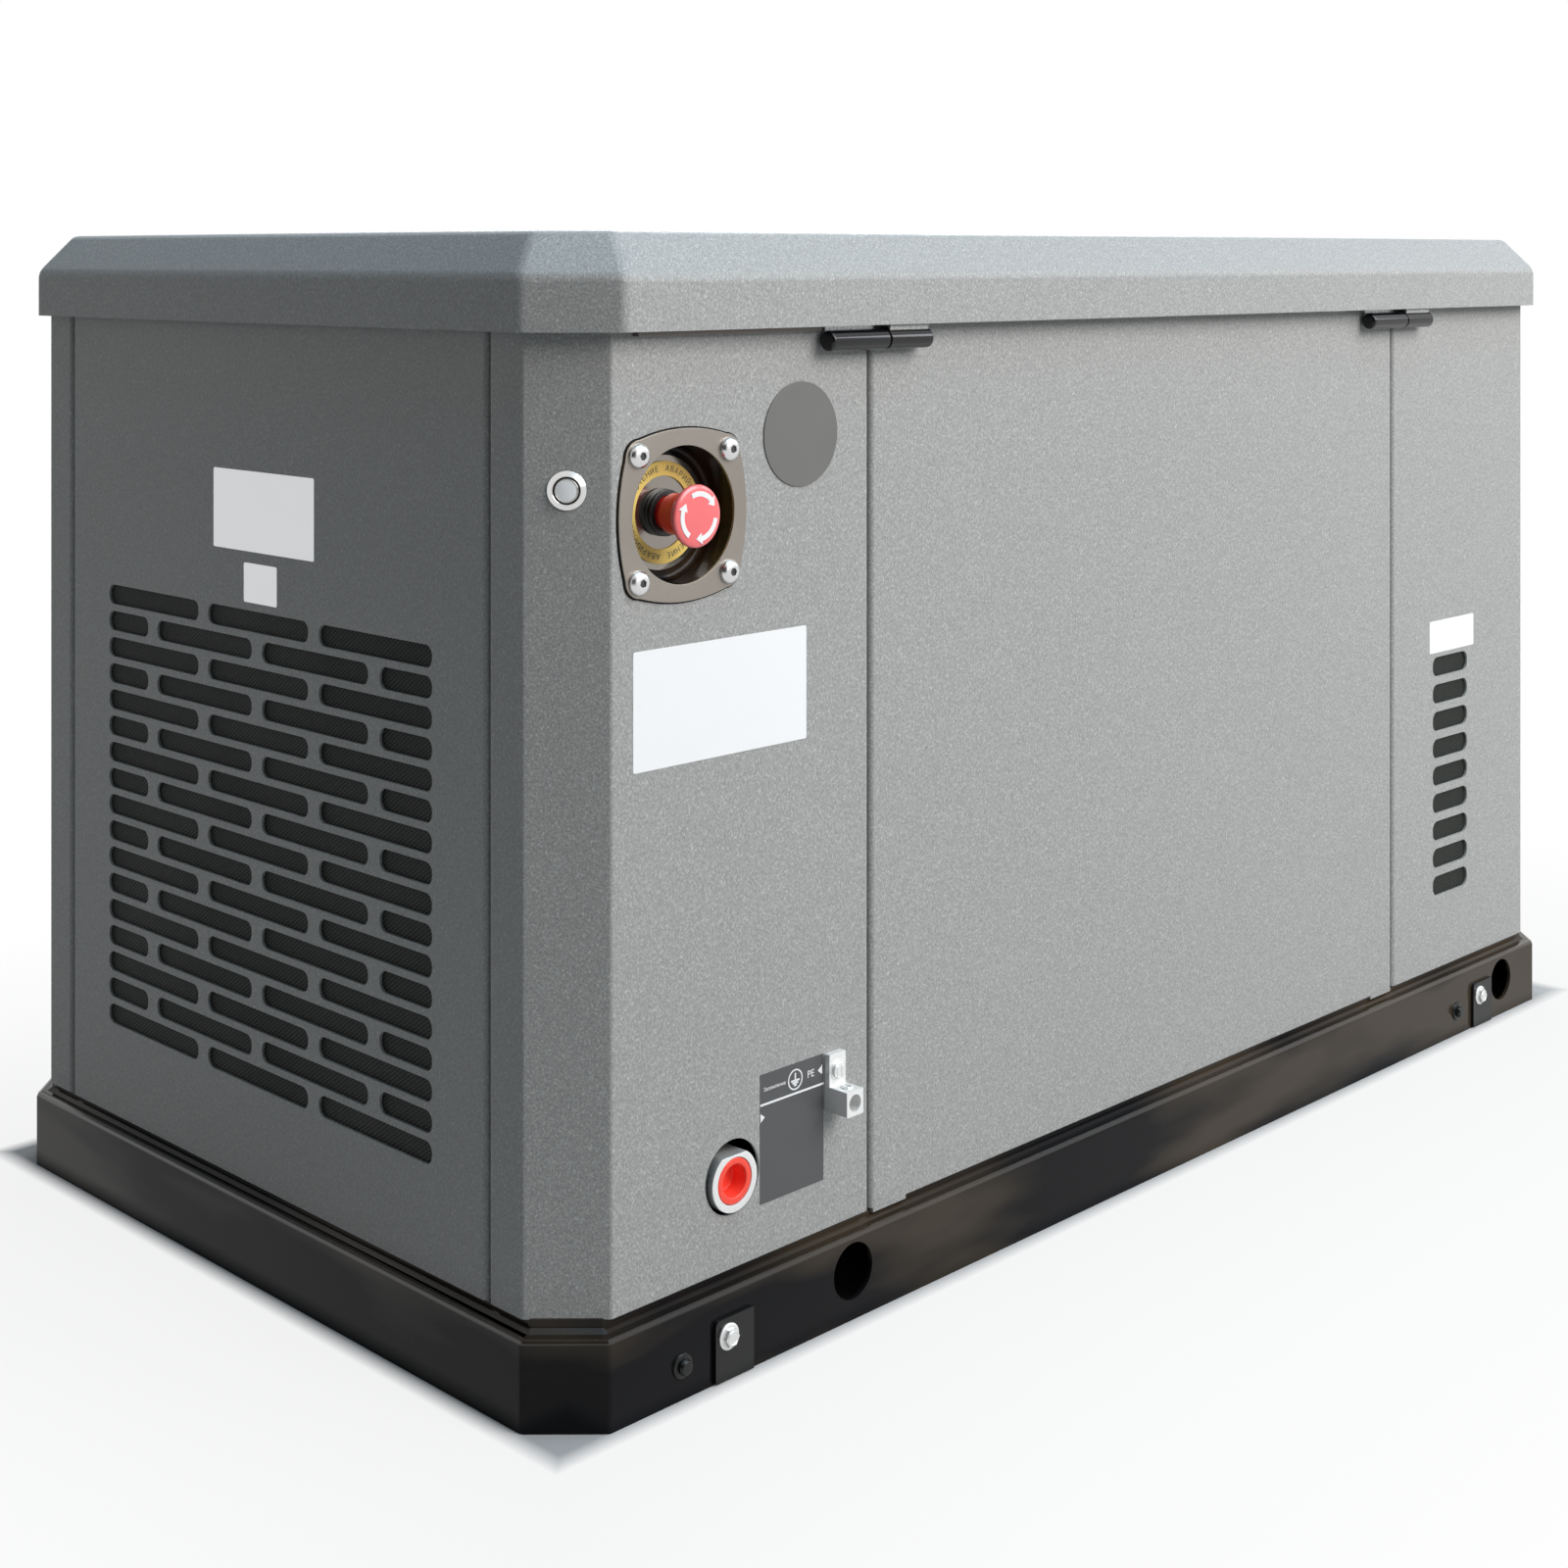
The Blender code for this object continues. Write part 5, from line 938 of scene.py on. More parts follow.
@dataclass
class HoldDowns:
    """The four hold-down brackets with their flange bolts."""

    corner: float = 0.004
    plate: float = 0.0025
    bolt_inset: float = 0.011
    bolt_height: float = 0.029
    washer_radius: float = 0.0085
    head_across: float = 0.0105
    head_height: float = 0.0050

    def build(self) -> None:
        """Build each plate and its bolt."""
        for side in (Side.FRONT, Side.REAR):
            for end in ("left", "right"):
                self.build_one(side, f"hold_down_bracket_{side.name.lower()}_{end}")

    def build_one(self, side: Side, node: str) -> None:
        """One plate and bolt.

        Args:
            side: the side of the tray.
            node: the CAD bracket.
        """
        low, high = span(node)
        wall_y = span("base_pan")[1].y
        foot = wall_y + SEAT_GAP
        middle = Vector(((low.x + high.x) / 2, side.value[1] * foot, (low.z + high.z) / 2))
        width, height = high.x - low.x, high.z - low.z
        left = self.corner if side is Side.FRONT else 0.0005
        right = 0.0005 if side is Side.FRONT else self.corner
        plate = Form().plate([rounded([(width / 2, -height / 2, 0.0005), (width / 2, height / 2, right),
                                       (-width / 2, height / 2, left), (-width / 2, -height / 2, 0.0005)])],
                             0.0, self.plate, 0.0006)
        plate.place(facing(side.value, middle))
        plate.piece(f"{node}_plate", BRACKET_PAINT, "black_steel", [node])
        at = (low.x + self.bolt_inset, side.value[1] * (foot + self.plate), self.bolt_height)
        bolt = flange_bolt(self.washer_radius, self.head_across, self.head_height)
        bolt.place(facing(side.value, at))
        bolt.piece(f"{node}_bolt", ZINC, "zinc")


def flange_bolt(washer: float, across: float, height: float) -> Form:
    """A flange bolt's head with a dished end, standing on its seat.

    Args:
        washer: flange radius.
        across: width across the flats.
        height: height of the head.

    Returns:
        The bolt.
    """
    form = Form().turned([(0.0, 0.0), (washer, 0.0), (washer, 0.0010, 0.0003), (washer * 0.80, 0.0019), (0.0, 0.0019)],
                         steps=32)
    form.add(Form().plate([hexagon(across)], 0.0015, height - 0.0004, 0.0005, 2))
    dish = across * 0.36
    form.add(Form().turned([(0.0, height - 0.0009), (dish * 0.8, height - 0.0009), (dish, height - 0.0003),
                            (dish * 1.15, height, 0.0001), (dish * 1.25, height - 0.0005), (0.0, height - 0.0020)],
                           steps=32))
    return form


# ---------------------------------------------------------------- enclosure panels


@dataclass
class Enclosure:
    """The folded sheet panels, their slots and mesh screens."""

    sheet: float = 0.002
    fold: float = 0.004
    flange: float = 0.014
    corner: float = 0.039
    rows: int = 17
    row_pitch: float = 0.020
    outlet_rows: int = 6
    outlet_pitch: float = 0.040
    slot_height: float = 0.015
    slot_radius: float = 0.0066
    slot_long: float = 0.1273
    slot_short: float = 0.0572
    bridge: float = 0.013
    top_row: float = 0.4618
    vents: int = 9
    vent_size: tuple[float, float] = (0.063, 0.0178)
    vent_radius: float = 0.0075
    vent_pitch: float = 0.0252
    vent_top: float = 0.342
    stop_hole: float = 0.0460
    gas_hole: float = 0.02425
    tab: tuple[float, float, float] = (0.034, 0.0030, 0.0035)

    def build(self) -> None:
        """Build every panel and dress the screens."""
        self.build_flat()
        self.build_corners()
        self.build_tabs()
        for node in ("intake_screen", "side_vent_screen"):
            dress(node, MESH)

    def slot_field(self, rows: int, pitch: float) -> list[Outline]:
        """Outlines of staggered rows of slots about the middle of an end."""
        outlines = []
        for row in range(rows):
            lengths = ([self.slot_short, self.slot_long, self.slot_long, self.slot_short] if row % 2
                       else [self.slot_long] * 3)
            start = -(sum(lengths) + self.bridge * (len(lengths) - 1)) / 2
            for length in lengths:
                outlines.append(rectangle(length, self.slot_height, self.slot_radius, start + length / 2,
                                          self.top_row - row * pitch))
                start += length + self.bridge
        return outlines

    def build_flat(self) -> None:
        """The slotted panel at each end and the plain panel of each long side."""
        for node, side, cuts in (
                ("intake_end_panel", Side.INTAKE, self.slot_field(self.rows, self.row_pitch)),
                ("outlet_end_panel", Side.OUTLET, self.slot_field(self.outlet_rows, self.outlet_pitch)),
                ("front_access_panel", Side.FRONT, []), ("rear_access_panel", Side.REAR, [])):
            low, high = span(node)
            face, back = (low, high) if sum(side.value) < 0 else (high, low)
            self.coated(node, [(back.x, low.y), (face.x, low.y), (face.x, high.y), (back.x, high.y)] if side.value[0]
                        else [(low.x, back.y), (low.x, face.y), (high.x, face.y), (high.x, back.y)], side, cuts)

    def coated(self, node: str, corners: Sequence[Point2], side: Side, cuts: Sequence[Outline]) -> None:
        """Fold one coated panel round its plan corners, with openings in its face on one side."""
        low, high = span(node)
        form = folded_panel(corners, self.fold, low.z, high.z, self.sheet, side, cuts)
        form.piece(f"{node}_coated", POWDER, "powder_coat", [node])

    def build_tabs(self) -> None:
        """The small bottom tabs at both ends of the access panels."""
        form = Form()
        for node, side in (("front_access_panel", -1), ("rear_access_panel", 1)):
            low, high = span(node)
            face = side * max(abs(low.y), abs(high.y))
            ends = sorted((face, face - side * self.tab[2]))
            for start in (low.x + 0.002, high.x - 0.002 - self.tab[0]):
                form.block((start, ends[0], low.z - 0.0002 - self.tab[1]),
                           (start + self.tab[0], ends[1], low.z - 0.0002), 0.0004)
        form.piece("access_panel_tabs", POWDER, "powder_coat")

    def build_corners(self) -> None:
        """The four wrapped corner panels."""
        for node, end, side in (("front_left_panel", -1, -1), ("front_right_panel", 1, -1),
                                ("rear_left_panel", -1, 1), ("rear_right_panel", 1, 1)):
            low, high = span(node)
            half_x = max(abs(low.x), abs(high.x))
            half_y = span("front_access_panel")[0].y * -1
            seam_x = min(abs(low.x), abs(high.x))
            seam_y = min(abs(low.y), abs(high.y))
            path = [(half_x - self.flange, seam_y), (half_x, seam_y), (half_x, half_y - self.corner),
                    (half_x - self.corner, half_y), (seam_x, half_y), (seam_x, half_y - self.flange)]
            self.coated(node, [(end * x, side * y) for x, y in path], Side.FRONT if side < 0 else Side.REAR,
                        self.openings(node))

    def openings(self, node: str) -> list[Outline]:
        """The openings of a corner panel's long-side face."""
        if node == "front_left_panel":
            stop, gas = centre_of("estop_housing"), centre_of("gas_inlet_coupling")
            return [circle(self.stop_hole, HOLE_STEPS, stop.x, stop.z), circle(self.gas_hole, HOLE_STEPS, gas.x, gas.z)]
        if node == "front_right_panel":
            middle = centre_of("side_vent_screen").x
            return [rectangle(*self.vent_size, self.vent_radius, middle, self.vent_top - index * self.vent_pitch)
                    for index in range(self.vents)]
        return []


def dress(node: str, finish: Finish) -> None:
    """Give a CAD node that keeps its shape a finish of its own.

    Args:
        node: the CAD node.
        finish: its finish.
    """
    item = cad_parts[node]
    for place in item.material_slots:
        place.material = finish.material()
    if not item.material_slots:
        item.data.materials.append(finish.material())
    LOG.info("%s keeps its shape, finished in %s", node, finish.name)


# ---------------------------------------------------------------- lid, hinges and locks


@dataclass
class Lid:
    """The folded lid with its foam liner and the strip under its front skirt."""

    skirt_top: float = 0.7075
    corner: float = 0.047
    top_inset: tuple[float, float] = (0.0228, 0.0258)
    top_corner: float = 0.036
    fold: float = 0.0042
    sheet: float = 0.002
    liner_cells: tuple[int, int] = (44, 22)
    liner_wave: float = 0.0042
    liner_rim_from: float = 0.49
    liner_rim_rise: float = 0.004
    strip_from: float = -0.5665
    strip_to: float = -0.402

    def build(self) -> None:
        """Build the shell, the liner and the strip."""
        self.build_shell()
        self.build_liner()
        self.build_strip()

    def build_shell(self) -> None:
        """A skirt, a sloped band and a flat top with rounded folds."""
        low, high = span("lid_shell")
        rings = [(high.x, high.y, self.corner, low.z), (high.x, high.y, self.corner, self.skirt_top),
                 (high.x - self.top_inset[0], high.y - self.top_inset[1], self.top_corner, high.z)]
        form = Form().lofted([(cut_corner_box(half_x, half_y, leg, 0.0, 1), height)
                              for half_x, half_y, leg, height in rings])
        bmesh.ops.recalc_face_normals(form.mesh, faces=list(form.mesh.faces))
        form.soften(self.fold, 5, radians(15))
        form.skin(self.sheet, lambda face: face.normal.dot(face.calc_center_median()))
        form.piece("lid_shell_coated", POWDER, "powder_coat", ["lid_shell"], Body.LID)

    def build_liner(self) -> None:
        """Convoluted foam under the lid: a closed slab with a waved lower face."""
        low, high = span("lid_liner")
        size, middle = high - low, (low + high) / 2
        columns, rows = self.liner_cells
        form = Form()
        grid = bmesh.ops.create_grid(form.mesh, x_segments=columns * 4, y_segments=rows * 4, size=0.5)["verts"]
        bmesh.ops.scale(form.mesh, vec=(size.x, size.y, 1.0), verts=grid)
        for vert in grid:
            across, along = vert.co.x / size.x, vert.co.y / size.y
            wave = sin(2 * pi * columns * across) * sin(2 * pi * rows * along)
            rim = max(abs(across), abs(along)) > self.liner_rim_from
            vert.co.z = low.z + (self.liner_rim_rise if rim else self.liner_wave * (1.0 + wave))
        for vert in form.raise_faces(list(form.mesh.faces), 0.0):
            vert.co.z = high.z
        form.place(Matrix.Translation((middle.x, middle.y, 0.0)))
        liner = form.piece("lid_liner_foam", FOAM, "foam", ["lid_liner"], Body.LID, weighted=False,
                           smooth=radians(80))

    def build_strip(self) -> None:
        """The thin sealing strip that shows under the skirt on the left."""
        skirt = span("lid_shell")[0]
        face = span("front_access_panel")[0].y
        form = Form().block((self.strip_from, face - 0.0058, skirt.z - 0.0032),
                            (self.strip_to, face - 0.0004, skirt.z + 0.0040), 0.0007)
        form.piece("lid_sealing_strip", GASKET, "frame_paint")


@dataclass
class Hinges:
    """Two lift-off barrel hinges, glossy black, with their leaves."""

    radius: float = 0.007
    leaf: float = 0.0028
    end_radius: float = 0.0022
    collar_gap: float = 0.0016
    trim: tuple[float, float] = (0.003, 0.005)
    frame_inset: float = 0.004
    lid_inset: float = 0.002

    def build(self) -> None:
        """Build both leaves of each hinge."""
        for name in ("hinge_left", "hinge_right"):
            self.build_leaf(f"{name}_frame_leaf", Body.ENCLOSURE, name)
            self.build_leaf(f"{name}_lid_leaf", Body.LID, name)

    def build_leaf(self, node: str, body: Body, name: str) -> None:
        """One knuckle with its plate.

        Args:
            node: the CAD leaf.
            body: the body it rides on.
            name: the hinge.
        """
        frame_low = span(f"{name}_frame_leaf")[0]
        lid_low, lid_high = span(f"{name}_lid_leaf")
        axis_y, axis_z = frame_low.y + self.radius, frame_low.z + self.radius
        fixed = body is Body.ENCLOSURE
        left, right = ((frame_low.x + self.trim[0], lid_low.x - self.collar_gap) if fixed
                       else (lid_low.x, lid_high.x - self.trim[1]))
        length = right - left
        soft_low, soft_high = (self.end_radius, 0.0006) if fixed else (0.0006, self.end_radius)
        barrel = Form().turned([(0.0, 0.0), (self.radius, 0.0, soft_low), (self.radius, length, soft_high),
                                (0.0, length)], steps=40, corner_steps=5)
        barrel.place(facing((1, 0, 0), (left, axis_y, axis_z)))
        high = span(node)[1]
        if fixed:
            plate_y = span("front_access_panel")[0].y - SEAT_GAP
            leaf = Form().block((left + self.frame_inset, plate_y - self.leaf, axis_z + self.radius * 0.3),
                                (right - self.frame_inset, plate_y, high.z), 0.0005)
            barrel.block((left + self.frame_inset, axis_y + 0.001, axis_z - self.radius * 0.3),
                         (right - self.frame_inset, plate_y, axis_z + self.radius * 0.2), 0.0003)
            pin = Form().turned([(0.0, length - 0.001), (self.radius * 0.8, length - 0.001),
                                 (self.radius * 0.8, length + self.collar_gap - 0.0003),
                                 (0.0, length + self.collar_gap - 0.0003)], steps=32)
            barrel.add(pin, facing((1, 0, 0), (left, axis_y, axis_z)))
        else:
            skirt = span("lid_shell")[0].y + Lid.sheet + SEAT_GAP
            leaf = Form().block((left + self.lid_inset, skirt, axis_z + self.radius * 0.3),
                                (right - self.lid_inset, skirt + self.leaf, high.z), 0.0005)
            barrel.block((left + self.lid_inset, skirt + 0.0002, axis_z),
                         (right - self.lid_inset, skirt + self.leaf - 0.0002, axis_z + self.radius * 0.25), 0.0002)
        barrel.piece(f"{node}_gloss", HINGE_GLOSS, "black_steel", [node], body)
        # The frame leaf's light grey is a painted reflection; the lid leaf takes the panel's powder coat.
        leaf.piece(f"{node}_plate", LEAF_REFLECTION if fixed else POWDER, "black_steel", body=body)


@dataclass
class LidLocks:
    """The two quarter-turn locks in the rear skirt."""

    knob_radius: float = 0.013
    slot_width: float = 0.0026
    tongue: float = 0.003

    def build(self) -> None:
        """Build each lock with a slotted knob."""
        for node, body in (("lid_lock_left", Body.LOCK_LEFT), ("lid_lock_right", Body.LOCK_RIGHT)):
            low, high = span(node)
            middle_x = (low.x + high.x) / 2
            axis_z = high.z - self.knob_radius
            skirt = span("lid_shell")[1].y
            rise = high.y - skirt
            knob = Form().turned([(0.0, rise - 0.0012), (self.knob_radius * 0.62, rise - 0.0012, 0.0004),
                                  (self.knob_radius * 0.66, rise, 0.0004), (self.knob_radius, rise, 0.0016),
                                  (self.knob_radius, 0.0003), (0.006, 0.0003), (0.006, low.y - skirt),
                                  (0.0, low.y - skirt)])
            knob.block((-self.slot_width, -self.knob_radius * 0.58, rise - 0.0016),
                       (self.slot_width, self.knob_radius * 0.58, rise - 0.0003), 0.0005)
            knob.place(facing(Side.REAR.value, (middle_x, skirt, axis_z)))
            knob.block((middle_x - self.tongue, low.y, low.z),
                       (middle_x + self.tongue, low.y + self.tongue, axis_z), 0.0004)
            knob.piece(f"{node}_knob", BLACK_PLASTIC, "black_plastic", [node], body)


# ---------------------------------------------------------------- controls


@dataclass
class EmergencyStop:
    """The recessed stop station: plate, cup, legend, collar and mushroom button."""

    half_middle: float = 0.055
    half_corner: float = 0.0495
    plate_corner: float = 0.012
    plate: float = 0.0016
    cup_radius: float = 0.044
    cup_wall: float = 0.0015
    cup_depth: float = 0.020
    floor_radius: float = 0.0372
    seat_hole: float = 0.0113
    shade_rim: float = 1.018
    legend_outer: float = 0.033
    legend_inner: float = 0.0235
    legend_text: str = "АВАРИЙНОЕ ОТКЛЮЧЕНИЕ"
    letter_size: float = 0.0052
    legend_start: float = -8
    legend_gap: float = 1.2
    screw_spread: tuple[float, float] = (0.039, 0.0395)
    screw_radius: float = 0.0080
    screw_height: float = 0.0047
    socket: float = 0.0030
    head_radius: float = 0.020
    head_height: float = 0.012
    arrow_radius: float = 0.0143
    arrow_width: float = 0.0033
    arrow_starts: tuple[float, float, float] = (115, -8, -126)
    arrow_sweep: float = 92
    seat: Vector = field(default_factory=Vector)

    def build(self) -> None:
        """Build every piece of the station."""
        low, high = span("estop_housing")
        self.seat = Vector(((low.x + high.x) / 2, span("front_access_panel")[0].y, (low.z + high.z) / 2))
        self.build_plate()
        self.build_screws()
        self.build_legend()
        self.build_collar()
        self.build_button()
        self.build_arrows()

    def laid(self, form: Form) -> Form:
        """Place a form on the station, its Z axis outwards."""
        return form.place(facing(Side.FRONT.value, self.seat))

    def outline(self) -> Outline:
        """The plate's outline: bowed sides between rounded corners."""
        reach = self.half_corner - self.plate_corner
        bow = self.half_middle - self.half_corner
        side: Outline = []
        for index in range(13):
            along = -reach + 2 * reach * index / 12
            side.append((self.half_corner + bow * (1 - (along / reach) ** 2), along))
        for step in range(1, 8):
            angle = radians(90) * step / 8
            side.append((reach + self.plate_corner * cos(angle), reach + self.plate_corner * sin(angle)))
        points: Outline = []
        for quarter in range(4):
            turn = Matrix.Rotation(quarter * pi / 2, 2)
            points += [tuple(turn @ Vector(point)) for point in side]
        return points

    def build_plate(self) -> None:
        """The bronze face plate with a black rim just beyond it as painted shade along its edge, the black cup wall and
        the bronze cup floor.
        """
        plate = Form().plate([self.outline(), circle(self.cup_radius, ROUND_STEPS)], SEAT_GAP, SEAT_GAP + self.plate,
                             0.0004, 2)
        self.laid(plate).piece("estop_face_plate", PLATE_BRONZE, "estop_plate", ["estop_housing"])
        # A black rim just beyond the plate's outline is painted shade along the plate's edge.
        grown = [(x * self.shade_rim, y * self.shade_rim) for x, y in self.outline()]
        shade_rim = Form().plate([grown, circle(self.cup_radius + self.cup_wall + 0.0005, ROUND_STEPS)], 0.00002, 0.00028)
        self.laid(shade_rim).piece("estop_plate_shade_rim", CUP_BLACK, "black_plastic")
        outer = self.cup_radius + self.cup_wall
        floor = -self.cup_depth
        wall = Form().turned([(self.cup_radius + 0.0001, 0.0001), (outer, 0.0001), (outer, floor - self.cup_wall),
                              (self.seat_hole, floor - self.cup_wall), (self.seat_hole, floor - 0.0006),
                              (self.cup_radius - 0.0004, floor - 0.0006, 0.0035)], ring=True, steps=ROUND_STEPS)
        self.laid(wall).piece("estop_cup_wall", CUP_BLACK, "estop_plate")
        disc = Form().turned([(self.floor_radius, floor - 0.0005), (self.floor_radius, floor + 0.0002, 0.0005),
                              (self.seat_hole, floor + 0.0002), (self.seat_hole, floor - 0.0005)],
                             ring=True, steps=ROUND_STEPS)
        self.laid(disc).piece("estop_cup_floor", FLOOR_BRONZE, "estop_plate")

    def build_screws(self) -> None:
        """Four button-head socket screws, with a dark fill low in each socket as painted shade."""
        form, socket_shade = Form(), Form()
        base = SEAT_GAP + self.plate
        for sign_x in (-1, 1):
            for sign_y in (-1, 1):
                at = Matrix.Translation((sign_x * self.screw_spread[0], sign_y * self.screw_spread[1], base))
                turn = at @ Matrix.Rotation(0.4 * sign_x + 0.3 * sign_y, 4, "Z")
                form.add(self.screw(), turn)
                # A dark hexagon inside each socket is painted shade of the recess.
                socket_shade.add(Form().plate([hexagon(self.socket * 1.60)], self.screw_height * 0.45,
                                         self.screw_height * 0.78), turn)
        self.laid(form).piece("estop_plate_screws", SCREW_STEEL, "stainless")
        self.laid(socket_shade).piece("estop_screw_sockets", FRAME_PAINT, "stainless")

    def screw(self) -> Form:
        """One domed head with a hexagon socket."""
        radius, height, socket = self.screw_radius, self.screw_height, self.socket
        profile = [(socket + (radius - socket) * sin(radians(90) * step / 8),
                    height * (0.12 + 0.88 * cos(radians(90) * step / 8))) for step in range(9)]
        form = Form()
        form.turned([*profile, (radius * 0.97, 0.0)], steps=36)
        wall = hexagon(socket * 1.62)
        return form.lofted([(circle(socket, 36), height), (wall, height - 0.0001), (wall, height * 0.42)])

    def build_legend(self) -> None:
        """The yellow ring with its two words repeated round it."""
        foot = -self.cup_depth + SEAT_GAP
        top = foot + 0.0010
        ring = Form().turned([(self.legend_inner, foot), (self.legend_outer, foot), (self.legend_outer, top, 0.0002),
                              (self.legend_inner, top, 0.0002)], ring=True, steps=ROUND_STEPS)
        self.laid(ring).piece("estop_legend_ring_print", LEGEND_YELLOW, "legend_yellow",
                              ["estop_legend_ring"])
        words = Form()
        middle = (self.legend_inner + self.legend_outer) / 2
        step = radians(180) / (len(self.legend_text) + self.legend_gap)
        for repeat in range(2):
            for index, letter in enumerate(self.legend_text):
                if letter == " ":
                    continue
                angle = radians(self.legend_start) - repeat * pi - index * step
                turn = Matrix.Rotation(angle, 4, "Z") @ Matrix.Translation((0, middle, top + 0.00003))
                words.add(lettering(letter, self.letter_size), turn)
        self.laid(words).piece("estop_legend_words", LEGEND_INK, "legend_yellow", weighted=False)

    def build_collar(self) -> None:
        """The black threaded collar round the plunger."""
        foot = -self.cup_depth + SEAT_GAP
        profile = [(0.0110, foot), (0.0152, foot), (0.0152, foot + 0.0016, 0.0003), (0.0141, foot + 0.0020),
                   (0.0141, foot + 0.0044), (0.0150, foot + 0.0048, 0.0003), (0.0150, foot + 0.0058, 0.0006),
                   (0.0112, foot + 0.0060, 0.0004)]
        collar = Form().turned(profile, ring=True, steps=64)
        self.laid(collar).piece("estop_collar_moulded", BLACK_PLASTIC, "black_plastic",
                                ["estop_collar"])

    def build_button(self) -> None:
        """The red plunger and its mushroom head."""
        stem_end = self.seat.y - span("estop_plunger")[1].y
        proud = self.seat.y - span("estop_head")[0].y
        back = proud - self.head_height
        neck = [(0.0, back + 0.006), (0.005, back + 0.006), (0.005, back - 0.0003), (0.0136, back - 0.0003, 0.0004),
                (0.0131, -0.0086, 0.0008), (0.0105, -0.0092), (0.0105, -0.0157), (0.008, -0.0157),
                (0.008, stem_end), (0.0, stem_end)]
        self.laid(Form().turned(neck, steps=56, corner_steps=5)).piece(
            "estop_plunger_red", NECK_RED, "red_plastic", ["estop_plunger"], Body.STOP_STEM)
        radius = self.head_radius
        head = [(0.0, proud), (radius * 0.5, proud - 0.0001), (radius * 0.84, proud - 0.0004),
                (radius, proud - 0.0016, 0.0018), (radius, proud - 0.0044, 0.0014), (0.0152, proud - 0.0066, 0.0012),
                (0.0138, back, 0.0005), (0.0054, back), (0.0054, back + 0.0063), (0.0, back + 0.0063)]
        # The head's finish carries a painted sheen.
        self.laid(Form().turned(head, steps=ROUND_STEPS, corner_steps=6)).piece(
            "estop_head_red", RED_HEAD_SHEEN, "red_plastic", ["estop_head"], Body.STOP_BUTTON)

    def build_arrows(self) -> None:
        """Three curved arrows that show which way the head turns."""
        proud = self.seat.y - span("estop_head")[0].y
        form = Form()
        for start in self.arrow_starts:
            form.plate([self.arrow(radians(start), radians(self.arrow_sweep))], proud - 0.0006, proud - 0.00001)
        self.laid(form).piece("estop_turn_arrows", WHITE_INK, "red_plastic", body=Body.STOP_BUTTON, weighted=False)

    def arrow(self, start: float, sweep: float) -> Outline:
        """One clockwise arrow outline.

        Args:
            start: angle of its tail.
            sweep: angle to its tip.

        Returns:
            The outline.
        """
        half, head = self.arrow_width / 2, self.arrow_width * 1.15
        neck = sweep * 0.78
        steps = 12
        outer = [(self.arrow_radius + half, start - neck * step / steps) for step in range(steps + 1)]
        inner = [(self.arrow_radius - half, start - neck * step / steps) for step in range(steps, -1, -1)]
        tip = [(self.arrow_radius + head, start - neck), (self.arrow_radius, start - sweep),
               (self.arrow_radius - head, start - neck)]
        return [(radius * cos(angle), radius * sin(angle)) for radius, angle in [*outer, *tip, *inner]]


@dataclass
class PushButton:
    """The chrome push button on the corner."""

    bezel_radius: float = 0.0125
    bezel_height: float = 0.003
    well_radius: float = 0.0087
    cap_radius: float = 0.0078
    face_radius: float = 0.0068
    barrel_radius: float = 0.0095
    barrel_depth: float = 0.022
    cap_height: float = 0.0055

    def build(self) -> None:
        """Build the conical bezel, a black ring in the groove round the cap as painted shade, and the cap with its
        silver face.
        """
        lay = facing((-sqrt(0.5), -sqrt(0.5), 0.0), self.seat())
        foot, top = self.bezel_height - self.cap_height, self.bezel_height - 0.0002
        bezel = Form().turned([(0.0, -self.cap_height), (self.well_radius, -self.cap_height),
                               (self.well_radius, self.bezel_height - 0.0003),
                               (self.well_radius + 0.0004, self.bezel_height, 0.0002),
                               (self.bezel_radius - 0.0003, 0.0009, 0.0003), (self.bezel_radius, 0.0003),
                               (self.barrel_radius, 0.0003), (self.barrel_radius, -self.barrel_depth),
                               (0.0, -self.barrel_depth)], steps=ROUND_STEPS)
        # The black ring in the groove round the cap is painted shade of the gap.
        groove = Form().turned([(self.cap_radius + 0.0001, top - 0.0012), (self.well_radius - 0.00002, top - 0.0012),
                                (self.well_radius - 0.00002, foot), (self.cap_radius + 0.0001, foot)],
                               ring=True, steps=56)
        ring = Form().turned([(self.face_radius, top - 0.0007), (self.face_radius + 0.0001, top, 0.0001),
                              (self.face_radius + 0.0005, top, 0.0003), (self.cap_radius, top - 0.0007, 0.0002),
                              (self.cap_radius, foot), (self.face_radius, foot)], ring=True, steps=56)
        face = Form().turned([(0.0, top + 0.0001), (self.face_radius * 0.7, top),
                              (self.face_radius, top - 0.0004, 0.0003), (self.face_radius, foot), (0.0, foot)],
                             steps=56)
        for form, name, finish, slot, nodes, body in (
                (bezel, "push_button_bezel_polished", CHROME, "stainless", ["push_button_bezel"], Body.ENCLOSURE),
                (groove, "push_button_groove", CUP_BLACK, "black_plastic", [], Body.ENCLOSURE),
                (ring, "push_button_cap_ring", CHROME, "stainless", ["push_button_cap"], Body.PUSH_BUTTON),
                (face, "push_button_cap_face", CAP_SILVER, "stainless", [], Body.PUSH_BUTTON)):
            form.place(lay).piece(name, finish, slot, nodes, body)

    def seat(self) -> Vector:
        """The centre of the bezel's foot on the corner panel."""
        low, high = span("push_button_bezel")
        span_x, span_y = span("front_left_panel"), span("front_access_panel")
        reach = Enclosure.corner / 2
        return Vector((span_x[0].x + reach, span_y[0].y + reach, (low.z + high.z) / 2))


# ---------------------------------------------------------------- front fittings


